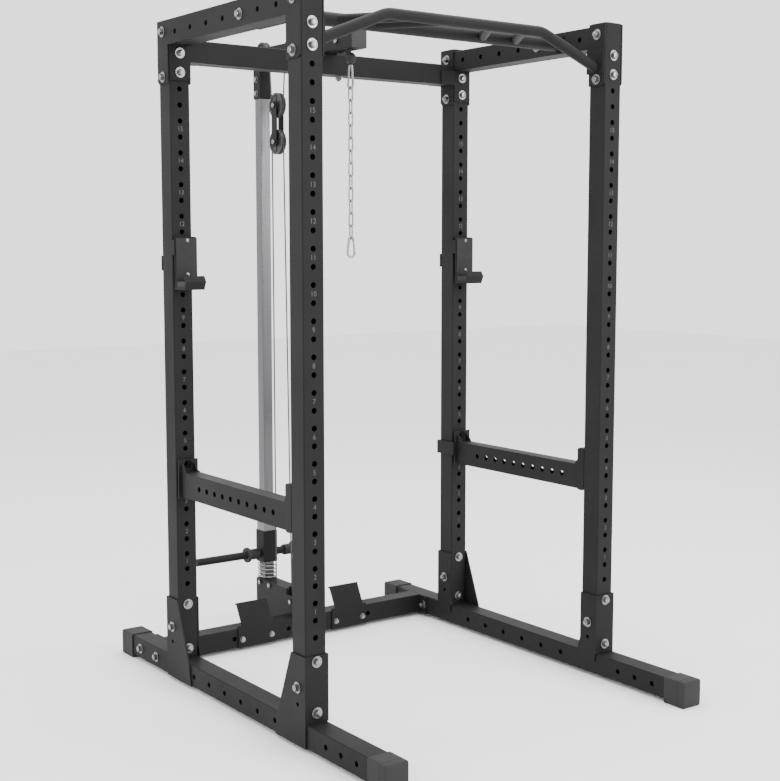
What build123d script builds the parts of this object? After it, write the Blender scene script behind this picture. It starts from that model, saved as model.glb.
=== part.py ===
"""Power cage with a plate-loaded pulley tower: every piece in one frame, in millimetres.

+Z is up and the floor is z = 0. The cage's open front faces -Y, and the pulley tower stands
behind the rear uprights on the middle plane x = 0. Welded pieces are one solid, and
pieces that are bolted, pushed on or hung are solids of their own.
"""

import os
from math import asin, atan2, cos, pi, sin, sqrt

from build123d import *

os.makedirs("parts", exist_ok=True)

# ---- Frame: driving dimensions ----
tube = 70.0                # side of the square frame tubes
wall = 3.0                 # their wall
corner = 4.0               # their outer corner radius
cage_width = 1148.0        # between the upright centre lines, left to right
bay_depth = 770.0          # between the upright centre lines, front to back
foot = 12.0                # height of the rail's underside over the floor, on its caps
upright_top = 2142.0       # top of the uprights over the floor
hole_r = 8.5               # hole that takes a cup's or a safety's peg
hole_pitch = 50.0
hole_count = 33
lowest_hole = 331.0        # height of the lowest peg hole
front_reach = 426.0        # from the front upright's centre to the front of the rail
rear_reach = 393.0         # from the rear upright's centre to the back of the rail
cap_length = 83.0          # rubber end cap along the rail
cap_wall = 5.0
plate = 5.0                # thickness of the welded plates and brackets
top_beam_z = upright_top - tube / 2 - 6.0         # centre height of the two top side beams
rear_beam_z = upright_top - tube / 2 - 56.0       # centre height of the rear top crossbeam
base_beam_back = 193.6     # base crossbeam's centre behind the rear uprights' centre
fit = 0.3                  # clearance between pieces that are assembled by hand

# ---- Fasteners ----
bolt_r = 6.0               # M12 frame bolts
head_r = 10.4              # corner radius of their hexagon head and nut
head_h = 9.5
washer_r = 17.0
washer_t = 2.5
small_r = 5.0              # M10 bolts of the tower and the foot plates
small_head_r = 9.2
small_head_h = 6.4
small_washer_r = 10.5
small_washer_t = 2.0
bolt_play = 0.5            # radial play of a bolt in its hole
thread_play = 0.05         # radial play that stands for the thread in a nut
stick_out = 5.0            # bolt end past its nut

# ---- Pulley tower ----
post = 40.0                # square chromed guide post
post_wall = 2.0
post_back = 415.0          # post's centre behind the rear uprights' centre
lat_beam = 60.0            # square of the top beam that carries the pulleys
lat_beam_front = 180.0     # beam's front end behind the bay's middle
lat_beam_rear = 835.0
beam_cap_t = 3.0           # rim of the plastic plugs in the beam's ends
pulley_r = 45.0            # pulley's outside radius
cable_r = 2.5
wrap_r = 38.5              # from a pulley's centre to the cable's centre
hub_half = 11.5            # half of a pulley's hub length
rim_half = 9.0             # half of a pulley's rim width
bearing_play = 0.05        # radial play of a pulley on its axle
groove_play = 0.35         # between a cable and the groove that it lies in
lat_drop_y = 229.0         # where the pull-down cable hangs, behind the bay's middle
block_y = 694.0            # travelling block's centre line
block_z = upright_top - 203.0      # height of its upper pulley at rest
block_pitch = 130.0        # between its two pulleys
carriage_bottom = 244.0    # underside of the carriage at rest, on its spring
carriage_h = 119.0
carriage_side = post + 20.0
bar_z = 275.0              # height of the plate pegs at rest
bar_r = 14.0
peg_end = {"left": 302.0, "right": 256.0}      # the pegs' ends from the middle
housing_top = 176.0        # top of the tower's foot
link_t = 42.0              # inside length of a chain link
link_d = 5.5               # its wire
link_w = 20.0              # its outside width
link_count = 12

# ---- Places worked out from them ----
half_w = cage_width / 2
half_t = tube / 2
rail_top = foot + tube
total_back = lat_beam_rear + beam_cap_t - bay_depth / 2
bay_y = (front_reach - total_back) / 2      # bay's middle, so that the whole is centred on y = 0
front_y = bay_y - bay_depth / 2
rear_y = bay_y + bay_depth / 2
rail_front = front_y - front_reach
rail_back = rear_y + rear_reach
inner_x = half_w - half_t
outer_x = half_w + half_t
post_y = rear_y + post_back
sides = {"left": -1, "right": 1}


def save(name, *solids):
    """Writes one node, as one solid or as a group of separate solids."""
    shape = solids[0] if len(solids) == 1 else Compound(children=list(solids))
    export_step(shape, f"parts/{name}.step")


def block(x0, x1, y0, y1, z0, z1):
    """A plain box between two corners, given in either order along each axis."""
    size = (abs(x1 - x0), abs(y1 - y0), abs(z1 - z0))
    return Pos((x0 + x1) / 2, (y0 + y1) / 2, (z0 + z1) / 2) * Box(*size)


def rod(start, axis, radius, length):
    """A round bar from a point, along +X, +Y or +Z (negative length runs the other way)."""
    turn = {"x": Rot(0, 90, 0), "y": Rot(-90, 0, 0), "z": Rot(0, 0, 0)}[axis]
    bar = Cylinder(radius, abs(length), align=(Align.CENTER, Align.CENTER, Align.MIN))
    back = Pos(0, 0, 0 if length >= 0 else length)
    return Pos(*start) * turn * back * bar


def square_tube(side, thick, radius, length, axis):
    """A square tube centred on the origin, along one axis."""
    outer = RectangleRounded(side, side, radius)
    inner = RectangleRounded(side - 2 * thick, side - 2 * thick, max(radius - thick, 0.8))
    body = extrude(outer - inner, length / 2, both=True)
    turn = {"x": Rot(0, 90, 0), "y": Rot(90, 0, 0), "z": Rot(0, 0, 0)}[axis]
    return turn * body


def cut(solid, tools):
    """One boolean for a whole list of cutting tools."""
    return solid.cut(*tools) if tools else solid


def side_plate(outline, x0, x1):
    """A flat plate whose outline is in Y and Z, between two X planes."""
    face = make_face(Polyline(*[(0, y, z) for y, z in outline], close=True))
    return extrude(face, abs(x1 - x0), dir=(1, 0, 0)).moved(Pos(min(x0, x1), 0, 0))


# ---- Fastener sets: bolts, washers and nuts are gathered here and written as groups ----
fasteners = {"frame": ([], [], []), "small": ([], [], [])}
fastener_sizes = {
    "frame": (bolt_r, head_r, head_h, washer_r, washer_t),
    "small": (small_r, small_head_r, small_head_h, small_washer_r, small_washer_t),
}


def hexagon(radius, height):
    return extrude(RegularPolygon(radius, 6), height)


def bolted(kind, place, axis, out, grip, washers=True):
    """A bolt whose head bears at place; out is the side (+1 or -1) of the axis the head is on."""
    shank, head, head_height, disc, disc_t = fastener_sizes[kind]
    turn = {"x": Rot(0, 90 * out, 0), "y": Rot(-90 * out, 0, 0), "z": Rot(0, 0 if out > 0 else 180, 0)}
    at = Pos(*place) * turn[axis]
    pad = disc_t if washers else 0
    shank_length = pad + grip + pad + head_height + stick_out
    bolts, discs, nuts = fasteners[kind]
    body = Pos(0, 0, pad) * hexagon(head, head_height)
    body += Pos(0, 0, pad - shank_length) * Cylinder(
        shank, shank_length, align=(Align.CENTER, Align.CENTER, Align.MIN))
    bolts.append(at * body)
    ring = Cylinder(disc, disc_t, align=(Align.CENTER, Align.CENTER, Align.MIN))
    ring -= Cylinder(shank + bolt_play, 3 * disc_t)
    if washers:
        discs.append(at * ring)
        discs.append(at * Pos(0, 0, -grip - pad) * ring)
    nut = hexagon(head, head_height) - Cylinder(shank + thread_play, 3 * head_height)
    nuts.append(at * Pos(0, 0, -grip - pad - head_height) * nut)


# ---- Uprights ----
cross_bolt_z = (upright_top - 34, upright_top - 174)       # side bolts of the top beams
face_bolt_z = (upright_top - 100, upright_top - 160)       # front bolts near the top
foot_face_z = (rail_top + 180, rail_top + 30)              # front bolts at the foot
foot_side_z = rail_top + 102                               # side bolt at the foot
spare_hole_z = rail_top + 52                               # empty side hole below it
hole_z = [lowest_hole + hole_pitch * i for i in range(hole_count)]


def upright(x, y):
    height = upright_top - rail_top
    body = Pos(0, 0, rail_top + height / 2) * square_tube(tube, wall, corner, height, "z")
    through = 2 * tube
    tools = [rod((0, -tube, z), "y", hole_r, through) for z in hole_z]
    bolt_hole = bolt_r + bolt_play
    tools += [rod((0, -tube, z), "y", bolt_hole, through) for z in face_bolt_z + foot_face_z]
    side_z = cross_bolt_z + (foot_side_z, spare_hole_z)
    tools += [rod((-tube, 0, z), "x", bolt_hole, through) for z in side_z]
    return Pos(x, y, 0) * cut(body, tools)


for side, sx in sides.items():
    save(f"upright_front_{side}", upright(sx * half_w, front_y))
    save(f"upright_rear_{side}", upright(sx * half_w, rear_y))

cap_solids = [
    block(x - half_t, x + half_t, y - half_t, y + half_t, upright_top, upright_top + 3)
    + block(x - 30, x + 30, y - 30, y + 30, upright_top - 12, upright_top)
    for x in (-half_w, half_w) for y in (front_y, rear_y)
]
save("upright_caps", *cap_solids)

# ---- Base rails with their welded foot brackets ----
bracket_top = rail_top + 198
gusset_reach = 75.0        # how far the outer plate slopes out along the rail
rail_hole_y = [bay_y + y for y in (-250, -150, -50, 50, 150, 250)]
rail_hole_y += [front_y - 137 - 75 * i for i in range(3)]
base_beam_y = rear_y + base_beam_back
base_bolt_y = (base_beam_y - 59.5, base_beam_y + 59.5)


def foot_bracket(sx, y, out):
    """Outer plate with its slope, inner plate and end plate; out is -1 in front, +1 behind."""
    end = y + out * (half_t + plate)
    near = y - out * half_t
    slope = [(end, bracket_top), (near, bracket_top), (near - out * gusset_reach, rail_top),
             (near - out * (gusset_reach + 14), foot), (end, foot)]
    flare = [(end, bracket_top), (near, bracket_top), (near, rail_top + 45),
             (near - out * 12, rail_top), (end, rail_top)]
    outer = side_plate(slope, sx * outer_x, sx * (outer_x + plate))
    inner = side_plate(flare, sx * inner_x, sx * (inner_x - plate))
    back = block(sx * (inner_x - plate), sx * (outer_x + plate), y + out * half_t, end,
                 rail_top, bracket_top)
    lip = block(sx * (inner_x - plate), sx * inner_x, y - half_t, y + half_t, rail_top - 25, rail_top)
    return outer.fuse(inner, back, lip)


def base_rail(sx):
    length = rail_back - rail_front - 2 * cap_wall
    middle = (rail_back + rail_front) / 2
    body = Pos(sx * half_w, middle, foot + half_t) * square_tube(tube, wall, corner, length, "y")
    body = body.fuse(foot_bracket(sx, front_y, -1), foot_bracket(sx, rear_y, 1))
    bolt_hole = bolt_r + bolt_play
    start = sx * half_w - tube
    tools = [rod((start, y, foot + half_t), "x", hole_r, 2 * tube) for y in rail_hole_y]
    tools += [rod((start, y, foot + half_t), "x", bolt_hole, 2 * tube) for y in base_bolt_y]
    for y in (front_y, rear_y):
        tools += [rod((start, y, z), "x", bolt_hole, 2 * tube) for z in (foot_side_z, spare_hole_z)]
        tools += [rod((sx * half_w, y - tube, z), "y", bolt_hole, 2 * tube) for z in foot_face_z]
    return cut(body, tools)


def end_cap(sx, y, out):
    """Rubber boot over a rail's end; its thick sole is the foot that the cage stands on."""
    x0, x1 = sx * half_w - half_t - cap_wall, sx * half_w + half_t + cap_wall
    body = block(x0, x1, y, y - out * cap_length, 0, rail_top + 3)
    body = fillet(body.edges().filter_by(Axis.Y), 4)
    inner = y - out * cap_wall
    bore = Pos(sx * half_w, (inner + y - out * 2 * cap_length) / 2, foot + half_t) * extrude(
        Rot(90, 0, 0) * RectangleRounded(tube, tube, corner),
        abs(2 * cap_length - cap_wall) / 2, both=True)
    return body - bore


for side, sx in sides.items():
    save(f"base_rail_{side}", base_rail(sx))
    for y in (front_y, rear_y):
        bolted("frame", (sx * (outer_x + plate), y, foot_side_z), "x", sx, tube + 2 * plate)
        grip = tube + plate
        bear = y - half_t - (plate if y == front_y else 0)
        for z in foot_face_z:
            bolted("frame", (sx * half_w, bear, z), "y", -1, grip)
    for y in base_bolt_y:
        bolted("frame", (sx * outer_x, y, foot + half_t), "x", sx, tube + plate)
save("rail_end_caps", *[end_cap(sx, y, out) for sx in sides.values()
                        for y, out in ((rail_front, -1), (rail_back, 1))])

# ---- Base crossbeam and the two foot plates of the low row ----
base_beam_half = inner_x - plate
foot_plate_x = 200.0
foot_bolt_dx = 60.0
foot_bolt_z = foot + 30
spare_x = (-290.0, -64.0, 290.0)
beam_front = base_beam_y - half_t
base_beam = Pos(0, base_beam_y, foot + half_t) * square_tube(tube, wall, corner, 2 * base_beam_half, "x")
base_tools = []
for sx in sides.values():
    base_beam += block(sx * base_beam_half, sx * inner_x, base_beam_y - 80, base_beam_y + 80,
                       foot, rail_top)
    base_tools += [rod((sx * half_w - tube, y, foot + half_t), "x", bolt_r + bolt_play, 2 * tube)
                   for y in base_bolt_y]
    base_tools += [rod((sx * foot_plate_x + dx, beam_front - tube, foot_bolt_z), "y",
                       small_r + bolt_play, 3 * tube) for dx in (-foot_bolt_dx, foot_bolt_dx)]
base_tools += [rod((x, beam_front - tube, foot + half_t), "y", hole_r, 3 * tube) for x in spare_x]
save("base_crossbeam", cut(base_beam, base_tools))

fold_z = rail_top + 10
foot_plate_top = foot + 154.5
foot_lean = 37.0           # how far the foot plate's upper part leans back
foot_w_low = 154.0
foot_w_high = 125.0
lip_back = 14.0            # small lip turned back along its top edge
lip_drop = 5.0


def foot_plate(x):
    """A bent steel plate: a flat part on the crossbeam, a leaning tread and a turned lip."""
    flat = block(x - foot_w_low / 2, x + foot_w_low / 2, beam_front - plate, beam_front, foot, fold_z)
    front = beam_front - plate
    outline = [(front, fold_z), (front + foot_lean, foot_plate_top),
               (front + foot_lean + lip_back, foot_plate_top - lip_drop),
               (front + foot_lean + lip_back - 3, foot_plate_top - lip_drop - plate),
               (front + foot_lean + plate - 1, foot_plate_top - plate - 2),
               (beam_front, fold_z)]
    tread = side_plate(outline, x - foot_w_high / 2, x + foot_w_high / 2)
    body = flat + tread
    tools = [rod((x + dx, front - 10, foot_bolt_z), "y", small_r + bolt_play, 40)
             for dx in (-foot_bolt_dx, foot_bolt_dx)]
    return cut(body, tools)


for side, sx in sides.items():
    save(f"foot_plate_{side}", foot_plate(sx * foot_plate_x))
    for dx in (-foot_bolt_dx, foot_bolt_dx):
        bolted("small", (sx * foot_plate_x + dx, beam_front - plate, foot_bolt_z), "y", -1,
               tube + plate)

# ---- Top side beams, each with one long plate outside and a short plate inside at either end ----
plate_low = upright_top - 195
plate_high = upright_top
beam_low = top_beam_z - half_t
slot_top = rear_beam_z + half_t + 1
slot_w = plate + 2 * fit


def top_beam(sx):
    length = bay_depth - tube
    body = Pos(sx * half_w, bay_y, top_beam_z) * square_tube(tube, wall, corner, length, "y")
    tools = [rod((sx * half_w - tube, bay_y + y, top_beam_z), "x", hole_r, 2 * tube)
             for y in range(-300, 301, 100) if y != -100]
    tools.append(rod((sx * half_w - tube, bay_y - 100, top_beam_z), "x", bolt_r + bolt_play, 2 * tube))
    body += block(sx * outer_x, sx * (outer_x + plate), front_y - half_t, rear_y + half_t,
                  beam_low, plate_high)
    for y, out in ((front_y, -1), (rear_y, 1)):
        far, near = y + out * half_t, y - out * half_t
        inner_leg = [(far, plate_low + 8), (far, plate_high), (near, plate_high), (near, plate_low),
                     (far - out * 8, plate_low)]
        outer_leg = [(far, plate_low + 8), (far, beam_low), (near, beam_low), (near, plate_low),
                     (far - out * 8, plate_low)]
        body = body.fuse(side_plate(outer_leg, sx * outer_x, sx * (outer_x + plate)),
                         side_plate(inner_leg, sx * inner_x, sx * (inner_x - plate)))
        tools += [rod((sx * half_w - tube, y, z), "x", bolt_r + bolt_play, 2 * tube)
                  for z in cross_bolt_z]
        tools.append(block(sx * (inner_x - 2 * plate), sx * (inner_x + wall + 1),
                           near, near - out * slot_w, plate_low - 10, slot_top))
    return cut(body, tools)


for side, sx in sides.items():
    save(f"top_beam_{side}", top_beam(sx))
    for y in (front_y, rear_y):
        for z in cross_bolt_z:
            bolted("frame", (sx * (outer_x + plate), y, z), "x", sx, tube + 2 * plate)

# ---- Rear top crossbeam, welded between lapped plates at either end ----
lap = 60.0
rear_plate_low = upright_top - 185
ear_x = 57.0               # bolts of the lat beam's saddle, either side of the middle
rear_beam_half = inner_x - plate - fit
rear_beam = Pos(0, rear_y, rear_beam_z) * square_tube(tube, wall, corner, 2 * rear_beam_half, "x")
rear_tools = [rod((sx * ear_x, rear_y, rear_beam_z - tube), "z", bolt_r + bolt_play, 2 * tube)
              for sx in sides.values()]
under_beam = beam_low - fit
for sx in sides.values():
    for y, high in ((rear_y - half_t - plate, under_beam), (rear_y + half_t, rear_beam_z + half_t)):
        rear_beam += block(sx * (inner_x - lap), sx * inner_x, y, y + plate,
                           rear_beam_z - half_t, under_beam)
        rear_beam += block(sx * inner_x, sx * outer_x, y, y + plate, rear_plate_low, high)
    rear_tools += [rod((sx * half_w, rear_y - tube, z), "y", bolt_r + bolt_play, 2 * tube)
                   for z in face_bolt_z]
save("rear_top_crossbeam", cut(rear_beam, rear_tools))
for sx in sides.values():
    for z in face_bolt_z:
        bolted("frame", (sx * half_w, rear_y - half_t - plate, z), "y", -1, tube + 2 * plate)

# ---- Multi-grip pull-up bar: bent front pipe, straight rear pipe and slanting grips ----
pipe_r = 16.8
rear_pipe_r = 21.0
bar_level = upright_top - 46.5     # height of both pipes over the middle
bend_x = 296.0
bar_end_z = upright_top - 138.0    # where the front pipe meets its bracket
rear_pipe_y = bay_y - 200.0
flange_x = inner_x - 2 * plate
tab_low, tab_high = upright_top - 177, beam_low - 2 * fit
flange_low, flange_high = upright_top - 156.5, beam_low - 2 * fit
pipe_path = FilletPolyline((-flange_x, front_y, bar_end_z), (-bend_x, front_y, bar_level),
                           (bend_x, front_y, bar_level), (flange_x, front_y, bar_end_z), radius=90)
pipe_start = Plane(origin=pipe_path @ 0, z_dir=pipe_path % 0)
pull_up_bar = sweep(pipe_start * Circle(pipe_r), path=pipe_path)
rear_flange_x = inner_x - fit
pull_up_bar += rod((-rear_flange_x + plate, rear_pipe_y, bar_level), "x", rear_pipe_r,
                   2 * (rear_flange_x - plate))
for front_x, rear_x in ((86.0, 212.0), (219.0, 350.0)):
    for sx in sides.values():
        start = Vector(sx * front_x, front_y, bar_level)
        end = Vector(sx * rear_x, rear_pipe_y, bar_level)
        grip = Plane(origin=start, z_dir=end - start) * extrude(Circle(pipe_r - 1), (end - start).length)
        pull_up_bar += grip
rear_flange_y = (bay_y - 100 + 22, rear_pipe_y - 26)
for sx in sides.values():
    pull_up_bar += block(sx * flange_x, sx * (flange_x + plate), front_y - half_t + 2,
                         front_y + half_t + plate, flange_low, flange_high)
    pull_up_bar += block(sx * flange_x, sx * outer_x, front_y + half_t, front_y + half_t + plate,
                         flange_low, flange_high)
    pull_up_bar += block(sx * (inner_x + 1), sx * outer_x, front_y + half_t,
                         front_y + half_t + plate, tab_low, flange_high)
    pull_up_bar += block(sx * (rear_flange_x - plate), sx * rear_flange_x, *rear_flange_y,
                         bar_level - 30, bar_level + 26)
bar_tools = []
for sx in sides.values():
    bar_tools += [rod((sx * half_w, front_y, z), "y", bolt_r + bolt_play, 2 * tube)
                  for z in face_bolt_z]
    bar_tools.append(rod((sx * half_w - tube, bay_y - 100, top_beam_z), "x", bolt_r + bolt_play, 2 * tube))
    bar_tools.append(block(sx * (flange_x + plate), sx * outer_x, front_y - half_t, front_y + half_t,
                           bar_end_z - 60, bar_level + 60))
save("pull_up_bar", cut(pull_up_bar, bar_tools))
for sx in sides.values():
    for z in face_bolt_z:
        bolted("frame", (sx * half_w, front_y - half_t, z), "y", -1, tube + plate)
    bolted("frame", (sx * (outer_x + plate), bay_y - 100, top_beam_z), "x", sx, tube + 2 * plate + fit)

# ---- Bar cups: a C that wraps the upright, held by a peg in the hole behind ----
cup_gap = 13.0             # between the upright's face and the cup's front plate
cup_wrap = 8.0             # thickness of the side and back straps
flange_t = 3.0             # thin return along the upright's other side
cup_hole_z = lowest_hole + 21 * hole_pitch       # hole that the peg stands in
cup_plate_low, cup_plate_high = cup_hole_z - 54, cup_hole_z + 85
peg_r = hole_r - 0.4
peg_length = 9.5
saddle_reach = 62.0
saddle_low = cup_hole_z - 83
saddle_t = 8.0
seat_high = saddle_low + 26      # where the bar's shaft lies
lip_bulge = 12.0           # how far the lip bows out
lip_high = saddle_low + 44
cup_screw_z = (cup_hole_z + 73, cup_hole_z - 35)
screw_r = 3.0
liner_t = 4.0


def cup_pieces(x):
    """Steel cup, its plastic liner and the screws that hold the liner, on one rear upright."""
    left, right = x - half_t, x + half_t + 0.5
    face = rear_y - half_t - cup_gap
    back = rear_y + half_t
    front_plate = block(left, right + cup_wrap, face - plate, face, cup_plate_low, cup_plate_high)
    corner_edges = front_plate.edges().filter_by(Axis.Y).sort_by(Axis.Z)[-2:]
    front_plate = fillet(corner_edges, 8)
    strap_low, strap_high = cup_hole_z - 24, cup_hole_z + 24
    body = front_plate.fuse(
        block(right, right + cup_wrap, face, back + cup_wrap, strap_low, strap_high),
        block(right, right + cup_wrap, face, back - half_t * 1.6, strap_high, cup_plate_high - 14),
        block(left, right + cup_wrap, back + fit, back + fit + cup_wrap, strap_low, strap_high),
        block(left - flange_t - fit, left - fit, face - plate, face + cup_gap + 10,
              strap_high + 2, cup_plate_high - 10),
        block(left - flange_t - fit, left + plate, face - plate, face, strap_high + 2,
              cup_plate_high - 10),
        rod((x, back + fit, cup_hole_z), "y", peg_r, -peg_length),
        block(left, right, face - plate - saddle_reach, face, saddle_low, saddle_low + saddle_t),
        block(left, right + cup_wrap, face - plate, face, saddle_low, cup_plate_low))
    tip = face - plate - saddle_reach
    bow = tip - lip_bulge
    lip = [(tip + saddle_t, saddle_low), (tip, saddle_low), (bow, seat_high), (tip, lip_high),
           (tip + 5, lip_high - 5), (bow + saddle_t, seat_high), (tip + saddle_t, saddle_low + saddle_t)]
    body = body.fuse(side_plate(lip, left, right))
    tools = [rod((x + 8, face - plate - 2, z), "y", screw_r + 0.2, plate + 20) for z in cup_screw_z]
    body = cut(body, tools)
    seat = face - plate
    liner = block(left + 2, right + cup_wrap - 2, seat - liner_t, seat,
                  saddle_low + saddle_t, cup_plate_high - 4)
    pad = [(seat, saddle_low + saddle_t), (tip + saddle_t, saddle_low + saddle_t),
           (bow + saddle_t, seat_high), (seat, seat_high)]
    liner += side_plate(pad, left + 2, right - 2)
    liner = cut(liner, [rod((x + 8, seat - 10, z), "y", screw_r + 0.2, 30) for z in cup_screw_z])
    screws = []
    for z in cup_screw_z:
        shank = rod((x + 8, seat - liner_t, z), "y", screw_r, liner_t + plate + 1.5)
        screws.append(shank + rod((x + 8, seat - liner_t, z), "y", 6.0, -2.6))
    return body, liner, screws


for side, sx in sides.items():
    cup, liner, screws = cup_pieces(sx * half_w)
    save(f"bar_cup_{side}", cup)
    save(f"cup_liner_{side}", liner)
    save(f"cup_screws_{side}", *screws)

# ---- Safeties between the front and rear uprights ----
safety_z = 666.5           # height of the tube's centre
safety_h = 82.0
safety_w = 50.0
safety_gap = 13.0
safety_top_reach = 62.0    # gusset above the tube
safety_hole_z = lowest_hole + 7 * hole_pitch
safety_hole_y = [bay_y + y for y in range(-235, 251, 50)]
safety_shoe = 30.0         # depth of the hollow shoe against the front upright
safety_hole_r = 9.0


def safety(sx):
    x = sx * half_w
    x0, x1 = x - safety_w / 2, x + safety_w / 2
    low, high = safety_z - safety_h / 2, safety_z + safety_h / 2
    front = front_y + half_t + fit
    back = rear_y - half_t - safety_gap
    body = block(x0, x1, front + plate, back - plate, low, high)
    body -= block(x0 + wall, x1 - wall, front + 2, back - 2, low + wall, high - wall)
    shoe_low, shoe_high = safety_hole_z - 57, safety_hole_z + 85
    flange = block(x - half_t, x + half_t, front, front + safety_shoe, shoe_low, shoe_high)
    flange = fillet(flange.edges().filter_by(Axis.X), 8)
    flange -= block(x - half_t + plate, x + half_t - plate, front + plate, front + safety_shoe + 1,
                    shoe_low + plate, shoe_high - plate)
    tail = block(x - half_t, x + half_t, back - plate, back, low - 6, high + 40)
    body = body.fuse(flange, tail, rod((x, front, safety_hole_z), "y", peg_r, -peg_length))
    for y, out in ((front + safety_shoe, 1), (back - plate, -1)):
        gusset = [(y, high), (y, high + 26), (y + out * 4, high + 26), (y + out * 24, high)]
        for gx in (x0, x1 - plate):
            body = body.fuse(side_plate(gusset, gx, gx + plate))
    inner = x - sx * half_t
    strap_in, strap_out = inner - sx * 0.5, inner - sx * (0.5 + cup_wrap)
    behind = rear_y + half_t + fit
    strap_low, strap_high = safety_hole_z - 24, safety_hole_z + 24
    body = body.fuse(
        block(strap_in, strap_out, back - plate, behind + cup_wrap, strap_low, strap_high),
        block(inner, strap_out, back - plate, back, strap_low, strap_high),
        block(strap_out, x + sx * 24, behind, behind + cup_wrap, strap_low, strap_high),
        rod((x, behind, safety_hole_z), "y", peg_r, -peg_length))
    tools = [rod((x - tube, y, safety_z), "x", safety_hole_r, 2 * tube) for y in safety_hole_y]
    tools.append(rod((x, back - 2 * plate, safety_hole_z + hole_pitch), "y", 14, 4 * plate))
    return cut(body, tools)


for side, sx in sides.items():
    save(f"safety_{side}", safety(sx))

# ---- Pulley tower: post, its foot and its top sleeve ----
lat_low = rear_beam_z + half_t
rear_pulley_up = 12.0      # how far the rear pulley sits over the beam's middle
lat_mid = lat_low + lat_beam / 2
lat_high = lat_low + lat_beam
beam_start = bay_y + lat_beam_front
beam_end = bay_y + lat_beam_rear
post_low = housing_top - 60
slot_half = hub_half + 1.5                   # slots that the pulleys turn in
notch_low = lat_low + lat_beam / 2 + rear_pulley_up - pulley_r - 2
pulley_notch = block(-slot_half, slot_half, post_y - post, post_y + post, notch_low, lat_low + 5)
post_tube = Pos(0, post_y, (post_low + lat_low) / 2) * square_tube(post, post_wall, 2.5, lat_low - post_low, "z")
sleeve_h = 117.0
sleeve_side = post + 8.0
sleeve_bolt_z = (lat_low - 47, lat_low - 97)
sleeve_bore = extrude(RectangleRounded(post, post, 2.5), sleeve_h, both=True)
sleeve = Pos(0, post_y, lat_low - sleeve_h / 2) * (
    extrude(RectangleRounded(sleeve_side, sleeve_side, 3), sleeve_h / 2, both=True) - sleeve_bore)
sleeve_tools = [rod((-60, post_y, z), "x", small_r + bolt_play, 120) for z in sleeve_bolt_z]
sleeve_tools.append(pulley_notch)
save("post_top_sleeve", cut(sleeve, sleeve_tools))
for z in sleeve_bolt_z:
    bolted("small", (-sleeve_side / 2, post_y, z), "x", -1, sleeve_side)

# Tower foot: a closed box from the crossbeam to behind the post, with a pulley at each end.
low_pulley_y = base_beam_y + 5
low_pulley_z = rail_top + pulley_r + 5.5
anchor_y = bay_y + block_y + wrap_r
anchor_z = housing_top - 12
cheek_t = 4.0
cheek_x = hub_half + 0.5
foot_back = post_y + post / 2 + 8
foot_box_front = base_beam_y + half_t + fit
box_half = post / 2 + 10.0
tower_foot = block(-box_half, box_half, foot_box_front, foot_back, foot, housing_top)
tower_foot -= block(-box_half + cheek_t, box_half - cheek_t, foot_box_front + cheek_t, foot_back - cheek_t,
                    foot + cheek_t, housing_top - cheek_t)
post_bore = Pos(0, post_y, housing_top - 40) * extrude(RectangleRounded(post, post, 2.5), 60, both=True)
foot_tools = [post_bore, rod((0, anchor_y, housing_top - 20), "z", cable_r + 2, 40)]
foot_tools += [rod((-60, y, anchor_z), "x", small_r + bolt_play, 120) for y in (anchor_y, post_y)]
foot_tools += [rod((-60, low_pulley_y, low_pulley_z), "x", small_r + bolt_play, 120)]
foot_tools.append(block(-slot_half, slot_half, foot_box_front - 5, low_pulley_y + pulley_r + 4,
                        low_pulley_z - pulley_r - 4, housing_top + 5))
nose_back = foot_box_front + 20
for sx in sides.values():
    x0, x1 = sx * (box_half - cheek_t), sx * box_half
    tower_foot += block(x0, x1, low_pulley_y - pulley_r - 6, nose_back, rail_top + 0.2,
                        low_pulley_z + 22)
save("tower_foot", cut(tower_foot, foot_tools))
post_tools = [rod((-60, post_y, z), "x", small_r + bolt_play, 120) for z in sleeve_bolt_z]
post_tools += [rod((-60, post_y, anchor_z), "x", small_r + bolt_play, 120), pulley_notch]
save("guide_post", cut(post_tube, post_tools))
bolted("small", (-box_half, post_y, anchor_z), "x", -1, 2 * box_half, washers=False)

# ---- Lat beam over the rear crossbeam, with slots for its three pulleys ----
front_pulley = (bay_y + lat_drop_y + wrap_r, lat_mid)
middle_pulley = (bay_y + 601.5, lat_mid)
rear_pulley = (beam_end - pulley_r - 1.0, lat_mid + rear_pulley_up)
top_pulleys = {"front": front_pulley, "middle": middle_pulley, "rear": rear_pulley}
beam = Pos(0, (beam_start + beam_end) / 2, lat_mid) * square_tube(lat_beam, wall, 3, beam_end - beam_start, "y")
beam_tools = []
for y, z in top_pulleys.values():
    beam_tools.append(block(-slot_half, slot_half, y - pulley_r - 4, y + pulley_r + 4,
                            lat_low - 10, lat_high + 10))
    beam_tools.append(rod((-60, y, z), "x", small_r + bolt_play, 120))
ear_t = plate
for sx in sides.values():
    beam += block(sx * lat_beam / 2, sx * (ear_x + 20), rear_y - 30, rear_y + 30, lat_low,
                  lat_low + ear_t)
    beam_tools.append(rod((sx * ear_x, rear_y, lat_low - 20), "z", bolt_r + bolt_play, 60))
    bolted("frame", (sx * ear_x, rear_y, lat_low + ear_t), "z", 1, tube + ear_t)
save("lat_beam", cut(beam, beam_tools))
beam_inner = lat_beam / 2 - wall - 0.2
plug_slot = block(-slot_half, slot_half, beam_end, beam_end - 20, lat_low, lat_high)
save("lat_beam_caps", *[
    block(-lat_beam / 2, lat_beam / 2, y, y + out * beam_cap_t, lat_low, lat_high)
    + block(-beam_inner, beam_inner, y, y - out * 10, lat_mid - beam_inner, lat_mid + beam_inner)
    - plug_slot for y, out in ((beam_start, -1), (beam_end, 1))])


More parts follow.
